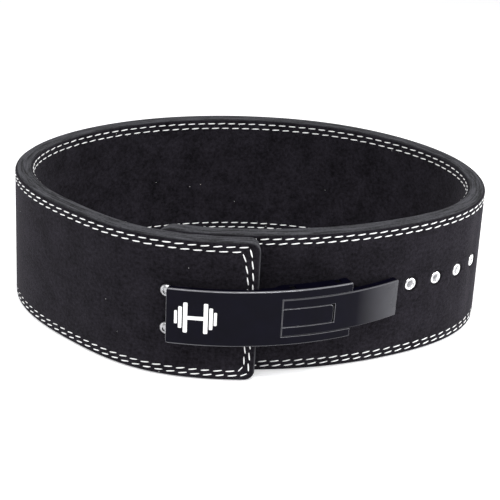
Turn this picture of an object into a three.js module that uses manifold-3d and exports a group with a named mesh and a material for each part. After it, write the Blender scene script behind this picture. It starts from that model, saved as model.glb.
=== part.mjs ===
// Weightlifting belt with a lever buckle, closed and standing on its lower edge.
// Millimetres, +Z up, +X to the viewer's right, +Y away from the viewer.
// The strap is one long strip: it starts at its outer end in front, runs round
// the left side, the back and the right side, and ends as a tongue inside the lap.
import * as THREE from "three";
import { mergeVertices } from "three/addons/utils/BufferGeometryUtils.js";
import Module from "manifold-3d";

const wasm = await Module();
wasm.setup();

// Clearance between pieces that touch on the real belt
const CLEARANCE = 0.3;

// Strap
const STRAP_HEIGHT = 101.6;
const CORE_THICKNESS = 10.4;
const FACING_THICKNESS = 1;
const FACING_INSET = 0.8;
const CORE_CHAMFER = 0.8;
const OUTER_CORNER_RADIUS = 7;
const TONGUE_CORNER_RADIUS = 17;

// Ring that the closed strap makes, seen from above
const OVAL_WIDTH = 354;
const OVAL_DEPTH = 280;
const LAP_GAP = 0.8;
const LAP_LENGTH = 73;
const OUTER_END_DEG = -1.7;
const BLEND_START_DEG = 30;
const BLEND_END_DEG = 330;
const STATION_STEP_DEG = 4;

// How far the ring's middle line lies from the plain oval, as a share of it.
// Turn 0 is the front, 90 the left side, 180 the back and 270 the right side.
const PLAN = [
  { turn: 0, share: 0.88 },
  { turn: 22.5, share: 0.94 },
  { turn: 45, share: 0.87 },
  { turn: 67.5, share: 0.91 },
  { turn: 90, share: 0.95 },
  { turn: 112.5, share: 0.93 },
  { turn: 135, share: 0.92 },
  { turn: 157.5, share: 0.93 },
  { turn: 180, share: 0.95 },
  { turn: 202.5, share: 0.98 },
  { turn: 225, share: 0.98 },
  { turn: 247.5, share: 0.99 },
  { turn: 270, share: 0.98 },
  { turn: 292.5, share: 0.96 },
  { turn: 315, share: 0.88 },
  { turn: 337.5, share: 0.86 },
];

// Size holes and the metal eyelets that line them
const HOLE_PITCH = 23.3;
const FIRST_HOLE_FROM_END = 48.5;
const HOLE_COUNT = 10;
const HOOKED_HOLE = 6;
const HOLE_HEIGHT = 54;
const EYELET_BORE = 5.2;
const EYELET_TUBE = 6.4;
const EYELET_FLANGE = 9.2;
const EYELET_PROUD = 0.4;
const EYELET_ROLL_SHARE = 0.3;
const EYELET_SIDES = 14;

// Lever: one cylinder is shared by the outer faces of the handle and the hook plate
const LEVER_HEIGHT = 51;
const STANDOFF_LEFT = 10.2;
const STANDOFF_MIDDLE = 8.1;
const STANDOFF_HOOK = 8.8;
const SHEET = 2;
const BEND_STEP_DEG = 2.5;

const HANDLE_WIDTH = 40;
const HANDLE_LENGTH = 126.5;
const HANDLE_OVERHANG = 61;
const HANDLE_CORNER = 2;
const HANDLE_RIM = 4;
const EAR_DEPTH = 9.5;
const EAR_LENGTH = 48;
const EAR_RAMP = 12;

const SLOT_LENGTH = 50;
const HOOK_PLATE_WIDTH = 26.9;
const HOOK_WINDOW_LENGTH = 37;
const HOOK_RIM = 5.5;
const HOOK_RIM_AT_PIN = 8;
const HOOK_RIM_OVER_PIN = 2.9;
const HOOK_RIM_RAMP = 2;
const HOOK_TIP_PAST_HOLE = 5.5;
const HOOK_TIP_ABOVE_STRAP = 1.6;
const PRONG_DIAMETER = 4.4;
const PRONG_REACH = 9;

const CENTRE_TONGUE_WIDTH = 13;
const CENTRE_TONGUE_CORNER = 2.5;
const TONGUE_POST_LENGTH = 8;
const TONGUE_POST_WIDTH = 9;

const PIN_DIAMETER = 4;
const PIN_DEPTH_HANDLE = 6.6;
const PIN_DEPTH_HOOK = 5;
const HANDLE_PIN_FROM_END = 8.5;
const HOOK_PIN_FROM_SLOT = 7.5;
const PIN_SHORT_OF_FACE = 0.4;

const BASE_WIDTH = 26;
const BASE_DECK_DEPTH = 9;
const BASE_DECK_LENGTH = 61;
const BASE_RISER_LENGTH = 7;
const BASE_LUG_LENGTH = 26;
const BASE_END_GAP = 2.5;

const SCREW_FROM_END = 59;
const SCREW_SPACING = 27.5;
const SCREW_HEAD = 9.4;
const SCREW_HEAD_HEIGHT = 2.6;
const SCREW_SHAFT = 5;
const SCREW_REACH = 9.5;
const SCREW_SIDES = 16;
const BASE_PAST_SCREW = 2;
const SCREW_PAD_INSET = 0.5;

// How far a cutting shape runs past what it cuts, and the sides of small round holes
const CUT_SPARE = 3;
const HOLE_SIDES = 12;

const LEATHER_BLACK = new THREE.MeshStandardMaterial({ color: 0x222224, roughness: 0.85, metalness: 0 });
const SUEDE_BLACK = new THREE.MeshStandardMaterial({ color: 0x1c1b1e, roughness: 0.95, metalness: 0 });
const COATED_STEEL = new THREE.MeshStandardMaterial({ color: 0x1a1b20, roughness: 0.35, metalness: 0.6 });
const BRIGHT_NICKEL = new THREE.MeshStandardMaterial({ color: 0xd8d8d8, roughness: 0.25, metalness: 1 });
const PIN_STEEL = new THREE.MeshStandardMaterial({ color: 0x3a3b40, roughness: 0.4, metalness: 0.9 });

const STRAP_THICKNESS = CORE_THICKNESS + 2 * (FACING_THICKNESS + CLEARANCE);
const TURN_DEG = 360;

// Solids

function solidOf(geometry) {
  const bare = geometry.index ? geometry.toNonIndexed() : geometry.clone();
  bare.deleteAttribute("normal");
  bare.deleteAttribute("uv");
  const merged = mergeVertices(bare, 1e-4);
  return new wasm.Manifold(
    new wasm.Mesh({
      numProp: 3,
      vertProperties: new Float32Array(merged.attributes.position.array),
      triVerts: new Uint32Array(merged.index.array),
    }),
  );
}

function geometryOf(solid) {
  const mesh = solid.getMesh();
  const geometry = new THREE.BufferGeometry();
  geometry.setAttribute("position", new THREE.BufferAttribute(new Float32Array(mesh.vertProperties), 3));
  geometry.setIndex(new THREE.BufferAttribute(new Uint32Array(mesh.triVerts), 1));
  geometry.computeVertexNormals();
  return geometry;
}

// A closed solid through rings of points that all have the same count, wound
// anticlockwise as seen from the last ring, with a flat cap at each end.
function loft(rings) {
  const count = rings[0].length;
  const positions = rings.flat().flatMap((p) => [p.x, p.y, p.z]);
  const faces = [];
  for (let r = 0; r + 1 < rings.length; r++) {
    for (let i = 0; i < count; i++) {
      const a = r * count + i;
      const b = r * count + ((i + 1) % count);
      faces.push(a, b, b + count, a, b + count, a + count);
    }
  }
  const last = (rings.length - 1) * count;
  for (let i = 1; i + 1 < count; i++) {
    faces.push(0, i + 1, i);
    faces.push(last, last + i, last + i + 1);
  }
  const geometry = new THREE.BufferGeometry();
  geometry.setAttribute("position", new THREE.Float32BufferAttribute(positions, 3));
  geometry.setIndex(faces);
  return solidOf(geometry);
}

// Turns a shape made along +Y to point outwards from the strap at one turn of it
function faceOutward(geometry, deg) {
  const out = outward(deg);
  const axis = new THREE.Vector3(out.x, out.y, 0);
  geometry.applyQuaternion(new THREE.Quaternion().setFromUnitVectors(new THREE.Vector3(0, 1, 0), axis));
}

// A round bar from one point to another
function bar(from, to, diameter, sides) {
  const axis = new THREE.Vector3().subVectors(to, from);
  const geometry = new THREE.CylinderGeometry(diameter / 2, diameter / 2, axis.length(), sides);
  const along = axis.clone().normalize();
  geometry.applyQuaternion(new THREE.Quaternion().setFromUnitVectors(new THREE.Vector3(0, 1, 0), along));
  geometry.translate((from.x + to.x) / 2, (from.y + to.y) / 2, (from.z + to.z) / 2);
  return solidOf(geometry);
}

function named(name, solid, material) {
  const mesh = new THREE.Mesh(geometryOf(solid), material);
  mesh.name = name;
  return mesh;
}

// Plan of the strap

function ovalShare(deg) {
  const place = (((deg % TURN_DEG) + TURN_DEG) % TURN_DEG) / (TURN_DEG / PLAN.length);
  const first = Math.floor(place);
  const t = place - first;
  const weights = [
    (1 - t) ** 3 / 6,
    (3 * t ** 3 - 6 * t ** 2 + 4) / 6,
    (-3 * t ** 3 + 3 * t ** 2 + 3 * t + 1) / 6,
    t ** 3 / 6,
  ];
  const row = (k) => PLAN[(first + k + PLAN.length - 1) % PLAN.length];
  return weights.reduce((sum, w, k) => sum + w * row(k).share, 0);
}

function ovalPoint(deg) {
  const turn = THREE.MathUtils.degToRad(deg);
  const share = ovalShare(deg);
  return new THREE.Vector2(
    (-OVAL_WIDTH / 2) * share * Math.sin(turn),
    (-OVAL_DEPTH / 2) * share * Math.cos(turn),
  );
}

function outward(deg) {
  const along = ovalPoint(deg + 0.01).sub(ovalPoint(deg - 0.01)).normalize();
  return new THREE.Vector2(-along.y, along.x);
}

// The outer end lies half a lap outside the oval and the tongue half a lap inside it.
function lapShift(deg) {
  const span = BLEND_END_DEG - BLEND_START_DEG;
  const t = THREE.MathUtils.clamp((deg - BLEND_START_DEG) / span, 0, 1);
  return ((STRAP_THICKNESS + LAP_GAP) / 2) * Math.cos(Math.PI * t);
}

// A point of the strap at a distance above its outer face; inside the strap it is negative.
function strapPoint(deg, above, z) {
  const out = lapShift(deg) + STRAP_THICKNESS / 2 + above;
  const p = ovalPoint(deg).addScaledVector(outward(deg), out);
  return new THREE.Vector3(p.x, p.y, z);
}

// The turn that lies a distance further along the outer face
function walk(deg, distance) {
  const step = 0.05 * Math.sign(distance);
  let left = Math.abs(distance);
  let here = strapPoint(deg, 0, 0);
  while (left > 0) {
    const next = strapPoint(deg + step, 0, 0);
    const gone = here.distanceTo(next);
    if (gone > left) return deg + (step * left) / gone;
    left -= gone;
    deg += step;
    here = next;
  }
  return deg;
}

const TONGUE_END_DEG = walk(TURN_DEG + OUTER_END_DEG, LAP_LENGTH);
const SCREW_DEG = walk(OUTER_END_DEG, SCREW_FROM_END);

// Strap stations: one at each step, with close ones round the corners of both ends
function stations() {
  const found = [];
  const first = Math.ceil(OUTER_END_DEG / STATION_STEP_DEG) * STATION_STEP_DEG;
  for (let deg = first; deg < TONGUE_END_DEG; deg += STATION_STEP_DEG) found.push(deg);
  for (const angle of [0, 22.5, 45, 67.5, 90]) {
    const part = 1 - Math.sin(THREE.MathUtils.degToRad(angle));
    found.push(walk(OUTER_END_DEG, OUTER_CORNER_RADIUS * part));
    found.push(walk(TONGUE_END_DEG, -TONGUE_CORNER_RADIUS * part));
  }
  found.sort((a, b) => a - b);
  return found.filter((deg, i) => i === 0 || i === found.length - 1 || deg - found[i - 1] > 0.12);
}

// How much lower the strap's top is where a corner is rounded
function cornerDrop(distance, radius) {
  if (distance >= radius) return 0;
  return radius - Math.sqrt(radius ** 2 - (radius - distance) ** 2);
}

function endDrop(deg) {
  const here = strapPoint(deg, 0, 0);
  if (deg < 90) return cornerDrop(strapPoint(OUTER_END_DEG, 0, 0).distanceTo(here), OUTER_CORNER_RADIUS);
  if (deg > 270) return cornerDrop(strapPoint(TONGUE_END_DEG, 0, 0).distanceTo(here), TONGUE_CORNER_RADIUS);
  return 0;
}

// One layer of the strap between two depths below the outer face
function strapLayer(outerDepth, innerDepth, inset, chamfer) {
  const rings = stations().map((deg) => {
    const low = inset + endDrop(deg);
    const high = STRAP_HEIGHT - low;
    const corner = (depth, z) => strapPoint(deg, -depth, z);
    const ring = [];
    ring.push(corner(outerDepth, low + chamfer), corner(outerDepth, high - chamfer));
    if (chamfer > 0) ring.push(corner(outerDepth + chamfer, high), corner(innerDepth - chamfer, high));
    ring.push(corner(innerDepth, high - chamfer), corner(innerDepth, low + chamfer));
    if (chamfer > 0) ring.push(corner(innerDepth - chamfer, low), corner(outerDepth + chamfer, low));
    return ring;
  });
  return loft(rings);
}

// Size holes

function holeDeg(index) {
  return walk(TONGUE_END_DEG, -(FIRST_HOLE_FROM_END + HOLE_PITCH * index));
}

function strapBar(deg, z, fromAbove, toAbove, diameter, sides) {
  return bar(strapPoint(deg, fromAbove, z), strapPoint(deg, toAbove, z), diameter, sides);
}

function screwHeights() {
  return [LEVER_HEIGHT + SCREW_SPACING / 2, LEVER_HEIGHT - SCREW_SPACING / 2];
}

// A cutter for one screw's hole, down to a depth below the strap's outer face
function screwHole(z, reach) {
  return strapBar(SCREW_DEG, z, CUT_SPARE, -reach, SCREW_SHAFT + 2 * CLEARANCE, HOLE_SIDES);
}

function drilled(solid, holeDiameter) {
  let result = solid;
  const reach = STRAP_THICKNESS + CUT_SPARE;
  for (let index = 0; index < HOLE_COUNT; index++) {
    const deg = holeDeg(index);
    result = result.subtract(strapBar(deg, HOLE_HEIGHT, CUT_SPARE, -reach, holeDiameter, EYELET_SIDES));
  }
  for (const z of screwHeights()) {
    result = result.subtract(screwHole(z, SCREW_REACH + CLEARANCE));
  }
  return result;
}

function strapCore() {
  const depth = FACING_THICKNESS + CLEARANCE;
  const layer = strapLayer(depth, depth + CORE_THICKNESS, 0, CORE_CHAMFER);
  return drilled(layer, EYELET_TUBE + 2 * CLEARANCE);
}

function outerFacing() {
  return drilled(strapLayer(0, FACING_THICKNESS, FACING_INSET, 0), EYELET_FLANGE + 2 * CLEARANCE);
}

function innerFacing() {
  const depth = STRAP_THICKNESS - FACING_THICKNESS;
  return drilled(strapLayer(depth, STRAP_THICKNESS, FACING_INSET, 0), EYELET_FLANGE + 2 * CLEARANCE);
}

// An eyelet is a tube with a rolled flange on each face of the strap.
function eyelet(index) {
  const face = EYELET_PROUD;
  const seat = -FACING_THICKNESS;
  const roll = EYELET_ROLL_SHARE * (face - seat);
  const bore = EYELET_BORE / 2;
  const tube = EYELET_TUBE / 2;
  const flange = EYELET_FLANGE / 2;
  const half = STRAP_THICKNESS / 2;
  const upper = [
    [bore, half + face - roll],
    [(bore + flange) / 2, half + face],
    [flange, half + face - roll],
    [flange, half + seat],
    [tube, half + seat],
  ];
  const lower = upper.map(([x, y]) => [x, -y]).reverse();
  const outline = [...upper, ...lower].reverse();
  outline.push(outline[0]);
  const geometry = new THREE.LatheGeometry(outline.map(([x, y]) => new THREE.Vector2(x, y)), EYELET_SIDES);
  const deg = holeDeg(index);
  faceOutward(geometry, deg);
  const middle = strapPoint(deg, -half, HOLE_HEIGHT);
  geometry.translate(middle.x, middle.y, middle.z);
  return solidOf(geometry);
}

// Frame of the lever: a circle through three points above the strap.
// u is the distance along it from the strap's outer end, depth is measured inwards.

const HOOK_DEG = holeDeg(HOOKED_HOLE - 1);

function circleThrough(a, b, c) {
  const d = 2 * (a.x * (b.y - c.y) + b.x * (c.y - a.y) + c.x * (a.y - b.y));
  const aa = a.lengthSq();
  const bb = b.lengthSq();
  const cc = c.lengthSq();
  const centre = new THREE.Vector2(
    (aa * (b.y - c.y) + bb * (c.y - a.y) + cc * (a.y - b.y)) / d,
    (aa * (c.x - b.x) + bb * (a.x - c.x) + cc * (b.x - a.x)) / d,
  );
  return { centre, radius: centre.distanceTo(a) };
}

const LEVER = circleThrough(
  strapPoint(SCREW_DEG, STANDOFF_LEFT, 0),
  strapPoint(OUTER_END_DEG, STANDOFF_MIDDLE, 0),
  strapPoint(HOOK_DEG, STANDOFF_HOOK, 0),
);

function leverAngle(point) {
  return Math.atan2(point.x - LEVER.centre.x, LEVER.centre.y - point.y);
}

// How far inside the lever's circle the strap's outer face lies
function strapDepth(deg) {
  const p = strapPoint(deg, 0, 0);
  return LEVER.radius - Math.hypot(p.x - LEVER.centre.x, p.y - LEVER.centre.y);
}

const LEVER_ZERO = leverAngle(strapPoint(OUTER_END_DEG, 0, 0));
const HOOK_U = (leverAngle(strapPoint(HOOK_DEG, 0, 0)) - LEVER_ZERO) * LEVER.radius;

const HANDLE_START = -HANDLE_OVERHANG;
const HANDLE_END = HANDLE_START + HANDLE_LENGTH;
const SLOT_START = HANDLE_END - SLOT_LENGTH;
const HOOK_PLATE_START = SLOT_START + CLEARANCE;
const HOOK_PLATE_END = HOOK_U + HOOK_TIP_PAST_HOLE;
const WINDOW_END = HOOK_PLATE_START + HOOK_WINDOW_LENGTH;
const HANDLE_PIN_U = HANDLE_END - HANDLE_PIN_FROM_END;
const HOOK_PIN_U = SLOT_START + HOOK_PIN_FROM_SLOT;

// The circle is walked as a polyline, so that faces of different pieces stay parallel.
function leverPoint(u, depth, height) {
  const step = THREE.MathUtils.degToRad(BEND_STEP_DEG);
  const place = (LEVER_ZERO + u / LEVER.radius) / step;
  const node = (k) => {
    const angle = k * step;
    const radius = LEVER.radius - depth;
    return new THREE.Vector3(
      LEVER.centre.x + radius * Math.sin(angle),
      LEVER.centre.y - radius * Math.cos(angle),
      LEVER_HEIGHT + height,
    );
  };
  const k = Math.floor(place);
  return node(k).lerp(node(k + 1), place - k);
}

// A bent block; its depth may change along u when innerDepth is a function.
function bentBlock(u0, u1, outerDepth, innerDepth, low, high, extra = []) {
  const step = THREE.MathUtils.degToRad(BEND_STEP_DEG);
  const places = [u0, u1, ...extra];
  const first = Math.ceil((LEVER_ZERO + u0 / LEVER.radius) / step);
  for (let k = first; (k * step - LEVER_ZERO) * LEVER.radius < u1; k++) {
    places.push((k * step - LEVER_ZERO) * LEVER.radius);
  }
  places.sort((a, b) => a - b);
  const kept = places.filter((u, i) => i === 0 || u - places[i - 1] > 0.01);
  const rings = kept.map((u) => {
    const inner = typeof innerDepth === "function" ? innerDepth(u) : innerDepth;
    return [
      leverPoint(u, outerDepth, low),
      leverPoint(u, inner, low),
      leverPoint(u, inner, high),
      leverPoint(u, outerDepth, high),
    ];
  });
  return loft(rings);
}

// A shape drawn in u and height, pushed straight through the sheet at one place
function punch(shape, u, height, depth, reach) {
  const geometry = new THREE.ExtrudeGeometry(shape, { depth: reach, bevelEnabled: false });
  const angle = LEVER_ZERO + u / LEVER.radius;
  const along = new THREE.Vector3(Math.cos(angle), Math.sin(angle), 0);
  const up = new THREE.Vector3(0, 0, 1);
  const out = new THREE.Vector3().crossVectors(along, up);
  const frame = new THREE.Matrix4().makeBasis(along, up, out);
  const origin = leverPoint(u, depth, height);
  frame.setPosition(origin.x, origin.y, origin.z);
  geometry.applyMatrix4(frame);
  return solidOf(geometry);
}

// Cuts an outer corner of a plate to a round; the signs say which way the corner points.
function cornerCut(u, height, radius, signU, signZ) {
  const steps = 5;
  const shape = new THREE.Shape();
  const at = (x, z) => [signU * x, signZ * z];
  shape.moveTo(...at(-radius, 0));
  for (let i = 1; i <= steps; i++) {
    const angle = (Math.PI / 2) * (1 - i / steps);
    shape.lineTo(...at(-radius + radius * Math.cos(angle), -radius + radius * Math.sin(angle)));
  }
  shape.lineTo(...at(CUT_SPARE, -radius));
  shape.lineTo(...at(CUT_SPARE, CUT_SPARE));
  shape.lineTo(...at(-radius, CUT_SPARE));
  return punch(shape, u, height, 3 * SHEET, 4 * SHEET);
}

function leverPin(u, depth, halfLength, diameter, sides) {
  return bar(leverPoint(u, depth, -halfLength), leverPoint(u, depth, halfLength), diameter, sides);
}

function pinHole(u, depth) {
  return leverPin(u, depth, HANDLE_WIDTH, PIN_DIAMETER + 2 * CLEARANCE, HOLE_SIDES);
}

// Handle: a curved sheet with a rim along both long edges, a slot open to the
// right, and deep ears beside the slot that carry both pins.
function handle() {
  const half = HANDLE_WIDTH / 2;
  const slotHalf = HOOK_PLATE_WIDTH / 2 + CLEARANCE;
  const earStart = HANDLE_END - EAR_LENGTH;
  const rimStart = HANDLE_START + 2 * HANDLE_RIM;
  const depthAt = (u) => {
    const t = THREE.MathUtils.clamp((u - earStart + EAR_RAMP) / EAR_RAMP, 0, 1);
    return THREE.MathUtils.lerp(HANDLE_RIM, EAR_DEPTH, t);
  };
  let body = bentBlock(HANDLE_START, HANDLE_END, 0, SHEET, -half, half);
  const ramp = [earStart - EAR_RAMP, earStart];
  body = body.add(bentBlock(rimStart, HANDLE_END, 0, depthAt, half - SHEET, half, ramp));
  body = body.add(bentBlock(rimStart, HANDLE_END, 0, depthAt, -half, -half + SHEET, ramp));
  const slotEnd = HANDLE_END + CUT_SPARE;
  const under = SHEET + CLEARANCE;
  body = body.subtract(bentBlock(SLOT_START, slotEnd, -CLEARANCE, under, -slotHalf, slotHalf));
  for (const side of [1, -1]) {
    body = body.subtract(cornerCut(HANDLE_START, side * half, HANDLE_CORNER, -1, side));
  }
  body = body.subtract(pinHole(HANDLE_PIN_U, PIN_DEPTH_HANDLE));
  return body.subtract(pinHole(HOOK_PIN_U, PIN_DEPTH_HOOK));
}

// Hook plate: it fills the handle's slot and bridges the gap to the strap, where
// its end turns down and its prong enters a size hole.
function hookPlate() {
  const half = HOOK_PLATE_WIDTH / 2;
  const windowHalf = CENTRE_TONGUE_WIDTH / 2 + CLEARANCE;
  const dipStart = HOOK_PIN_U + PIN_DIAMETER;
  const steps = [dipStart, dipStart + HOOK_RIM_RAMP, HANDLE_END, HANDLE_END + HOOK_RIM_RAMP];
  const depthAt = (u) => {
    if (u <= dipStart) return HOOK_RIM_AT_PIN;
    return u <= HANDLE_END ? HOOK_RIM_OVER_PIN : HOOK_RIM;
  };
  let body = bentBlock(HOOK_PLATE_START, HOOK_PLATE_END, 0, SHEET, -half, half);
  for (const side of [1, -1]) {
    const low = side > 0 ? half - SHEET : -half;
    body = body.add(bentBlock(HOOK_PLATE_START, HOOK_PLATE_END, 0, depthAt, low, low + SHEET, steps));
  }
  const tipDepth = strapDepth(walk(HOOK_DEG, -HOOK_TIP_PAST_HOLE)) - HOOK_TIP_ABOVE_STRAP;
  body = body.add(bentBlock(HOOK_PLATE_END - SHEET, HOOK_PLATE_END, 0, tipDepth, -half, half));
  const windowStart = HOOK_PLATE_START - CUT_SPARE;
  const under = SHEET + CLEARANCE;
  body = body.subtract(bentBlock(windowStart, WINDOW_END, -CLEARANCE, under, -windowHalf, windowHalf));
  body = body.subtract(pinHole(HOOK_PIN_U, PIN_DEPTH_HOOK));
  const prongTop = STANDOFF_HOOK - SHEET / 2;
  return body.add(strapBar(HOOK_DEG, HOLE_HEIGHT, prongTop, -PRONG_REACH, PRONG_DIAMETER, HOLE_SIDES));
}

// Base plate: it lies on the outer end of the strap, steps down past that end, and
// carries two lugs for the handle's pin and the centre tongue that fills the window.
function basePlate() {
  const half = BASE_WIDTH / 2;
  const rings = [];
  const startDeg = walk(SCREW_DEG, -BASE_PAST_SCREW);
  const endDeg = walk(OUTER_END_DEG, -BASE_END_GAP - BASE_RISER_LENGTH / 2);
  for (let deg = endDeg; deg < startDeg; deg += STATION_STEP_DEG) rings.push(plateRing(deg, half));
  rings.push(plateRing(startDeg, half));
  let body = loft(rings);
  const deckHalf = HANDLE_WIDTH / 2 - SHEET - 2 * CLEARANCE;
  const riserStart = BASE_END_GAP;
  const deckInner = BASE_DECK_DEPTH + SHEET;
  const riserOuter = STANDOFF_MIDDLE - SHEET - CLEARANCE;
  const riserEnd = riserStart + BASE_RISER_LENGTH;
  body = body.add(bentBlock(riserStart, riserEnd, riserOuter, deckInner, -half, half));
  const deckEnd = riserStart + BASE_DECK_LENGTH;
  body = body.add(bentBlock(riserStart, deckEnd, BASE_DECK_DEPTH, deckInner, -deckHalf, deckHalf));
  const lugOuter = SHEET + 2 * CLEARANCE;
  const lugStart = deckEnd - BASE_LUG_LENGTH;
  for (const side of [1, -1]) {
    const low = side > 0 ? deckHalf - SHEET : -deckHalf;
    body = body.add(bentBlock(lugStart, deckEnd, lugOuter, deckInner, low, low + SHEET));
  }
  body = body.subtract(pinHole(HANDLE_PIN_U, PIN_DEPTH_HANDLE));
  body = body.add(centreTongue());
  const padWidth = SCREW_HEAD - 2 * SCREW_PAD_INSET;
  for (const z of screwHeights()) {
    body = body.add(strapBar(SCREW_DEG, z, CLEARANCE, CLEARANCE + SHEET, padWidth, SCREW_SIDES));
    body = body.subtract(screwHole(z, CUT_SPARE));
  }
  return body;
}

function plateRing(deg, half) {
  const corner = (above, height) => strapPoint(deg, above, LEVER_HEIGHT + height);
  return [
    corner(CLEARANCE + SHEET, -half),
    corner(CLEARANCE + SHEET, half),
    corner(CLEARANCE, half),
    corner(CLEARANCE, -half),
  ];
}

function centreTongue() {
  const half = CENTRE_TONGUE_WIDTH / 2;
  const start = HOOK_PLATE_START;
  const end = WINDOW_END - CLEARANCE;
  const postStart = HOOK_PIN_U + PIN_DIAMETER;
  let body = bentBlock(start, end, 0, SHEET, -half, half);
  for (const side of [1, -1]) {
    body = body.subtract(cornerCut(end, side * half, CENTRE_TONGUE_CORNER, 1, side));
  }
  const postEnd = postStart + TONGUE_POST_LENGTH;
  const postHalf = TONGUE_POST_WIDTH / 2;
  const postInner = BASE_DECK_DEPTH + SHEET / 2;
  return body.add(bentBlock(postStart, postEnd, SHEET / 2, postInner, -postHalf, postHalf));
}

// A domed screw that clamps the base plate to the strap
function screw(z) {
  const seat = CLEARANCE + SHEET + CLEARANCE;
  const head = SCREW_HEAD / 2;
  const shaft = SCREW_SHAFT / 2;
  const outline = [new THREE.Vector2(0, -SCREW_REACH), new THREE.Vector2(shaft, -SCREW_REACH)];
  outline.push(new THREE.Vector2(shaft, seat), new THREE.Vector2(head, seat));
  for (const angle of [15, 35, 55, 75]) {
    const turn = THREE.MathUtils.degToRad(angle);
    outline.push(new THREE.Vector2(head * Math.cos(turn), seat + SCREW_HEAD_HEIGHT * Math.sin(turn)));
  }
  outline.push(new THREE.Vector2(0, seat + SCREW_HEAD_HEIGHT));
  const geometry = new THREE.LatheGeometry(outline, SCREW_SIDES);
  faceOutward(geometry, SCREW_DEG);
  const place = strapPoint(SCREW_DEG, 0, z);
  geometry.translate(place.x, place.y, place.z);
  return solidOf(geometry);
}

function buildStrap() {
  const group = new THREE.Group();
  group.add(named("strap_core", strapCore(), LEATHER_BLACK));
  group.add(named("strap_facing_outer", outerFacing(), SUEDE_BLACK));
  group.add(named("strap_facing_inner", innerFacing(), SUEDE_BLACK));
  for (let index = 0; index < HOLE_COUNT; index++) {
    const label = String(index + 1).padStart(2, "0");
    group.add(named("size_eyelet_" + label, eyelet(index), BRIGHT_NICKEL));
  }
  return group;
}

function pin(u, depth) {
  return leverPin(u, depth, HANDLE_WIDTH / 2 - PIN_SHORT_OF_FACE, PIN_DIAMETER, HOLE_SIDES);
}

function buildLever() {
  const group = new THREE.Group();
  group.add(named("base_plate", basePlate(), COATED_STEEL));
  group.add(named("lever_handle", handle(), COATED_STEEL));
  group.add(named("hook_plate", hookPlate(), COATED_STEEL));
  group.add(named("handle_pin", pin(HANDLE_PIN_U, PIN_DEPTH_HANDLE), PIN_STEEL));
  group.add(named("hook_pin", pin(HOOK_PIN_U, PIN_DEPTH_HOOK), PIN_STEEL));
  const [upper, lower] = screwHeights();
  group.add(named("screw_upper", screw(upper), BRIGHT_NICKEL));
  group.add(named("screw_lower", screw(lower), BRIGHT_NICKEL));
  return group;
}

const belt = new THREE.Group();
belt.add(buildStrap(), buildLever());
const box = new THREE.Box3().setFromObject(belt);
belt.position.set(-(box.min.x + box.max.x) / 2, -(box.min.y + box.max.y) / 2, -box.min.z);

export default belt;
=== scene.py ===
"""Looks of a leather lifting belt with a lever buckle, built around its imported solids.

Leather and metal sheet are modelled the way they are made: cut flat, shaped flat, then bent.
A flat pattern lies face up: x runs to the right, y up the strap's height, z above its face.
"""

import math
import random

import bmesh
import bpy
import numpy as np
from mathutils import Matrix, Vector


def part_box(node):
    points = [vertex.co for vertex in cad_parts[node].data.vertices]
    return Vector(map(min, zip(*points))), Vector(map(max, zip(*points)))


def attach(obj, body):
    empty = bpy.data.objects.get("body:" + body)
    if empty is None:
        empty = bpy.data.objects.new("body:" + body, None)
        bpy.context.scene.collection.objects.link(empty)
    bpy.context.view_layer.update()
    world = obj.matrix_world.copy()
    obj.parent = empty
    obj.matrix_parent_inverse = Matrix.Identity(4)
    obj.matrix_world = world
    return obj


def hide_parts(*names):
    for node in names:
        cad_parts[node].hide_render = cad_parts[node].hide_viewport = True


bl_info = {
    "name": "Lever Belt",
    "version": (1, 0, 0),
    "blender": (4, 5, 0),
    "location": "3D View > Sidebar > Lever Belt",
    "description": "Builds the visible pieces of a lifting belt around its packed solids",
    "category": "Add Mesh",
}

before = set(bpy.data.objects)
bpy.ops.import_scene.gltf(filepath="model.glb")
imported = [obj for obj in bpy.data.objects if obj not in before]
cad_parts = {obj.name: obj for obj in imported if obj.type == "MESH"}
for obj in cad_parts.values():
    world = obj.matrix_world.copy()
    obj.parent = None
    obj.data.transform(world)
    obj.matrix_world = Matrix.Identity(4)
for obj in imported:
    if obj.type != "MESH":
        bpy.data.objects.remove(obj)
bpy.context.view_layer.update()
BODY = "root"
MM = 0.001
SHORT_EDGE = 0.15 * MM
JOIN_INSET = 0.2 * MM
SAME_PLACE = 1e-6
CUT_REACH = 1e-7
NO_AREA = 1e-12

# Strap
STRAP_HEIGHT = 101.6 * MM
CORE_THICKNESS = 10.4 * MM
PLY = 1.3 * MM
STRAP_THICKNESS = CORE_THICKNESS + 2 * PLY
FACING_INSET = 0.9 * MM
OUTER_CORNER = 7 * MM
TONGUE_CORNER = 17 * MM
STATION_STEP = 5 * MM
OUTER_END_PAST = 1.5 * MM
FLARE = 2.8 * MM
FLARE_POWER = 4
BACK_RISE = 1.7 * MM
BACK_RISE_POWER = 8

# Plan of the closed ring; turn 0 is the front, 90 the left side, 180 the back
OVAL_WIDTH = 354 * MM
OVAL_DEPTH = 280 * MM
LAP_GAP = 0.8 * MM
LAP_LENGTH = 73 * MM
OUTER_END_DEG = -1.7
BLEND_START_DEG = 30
BLEND_END_DEG = 330
FRAME_STEP_DEG = 4
SLOPE_STEP_DEG = 0.01
TURN_STEP_DEG = 0.1
FIRST_TURN_DEG = OUTER_END_DEG - 5
LAST_TURN_DEG = 395
PLAN_SHARES = np.array(
    [0.88, 0.94, 0.87, 0.91, 0.95, 0.93, 0.92, 0.93, 0.95, 0.98, 0.98, 0.99, 0.98, 0.96, 0.88, 0.86]
)

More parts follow.
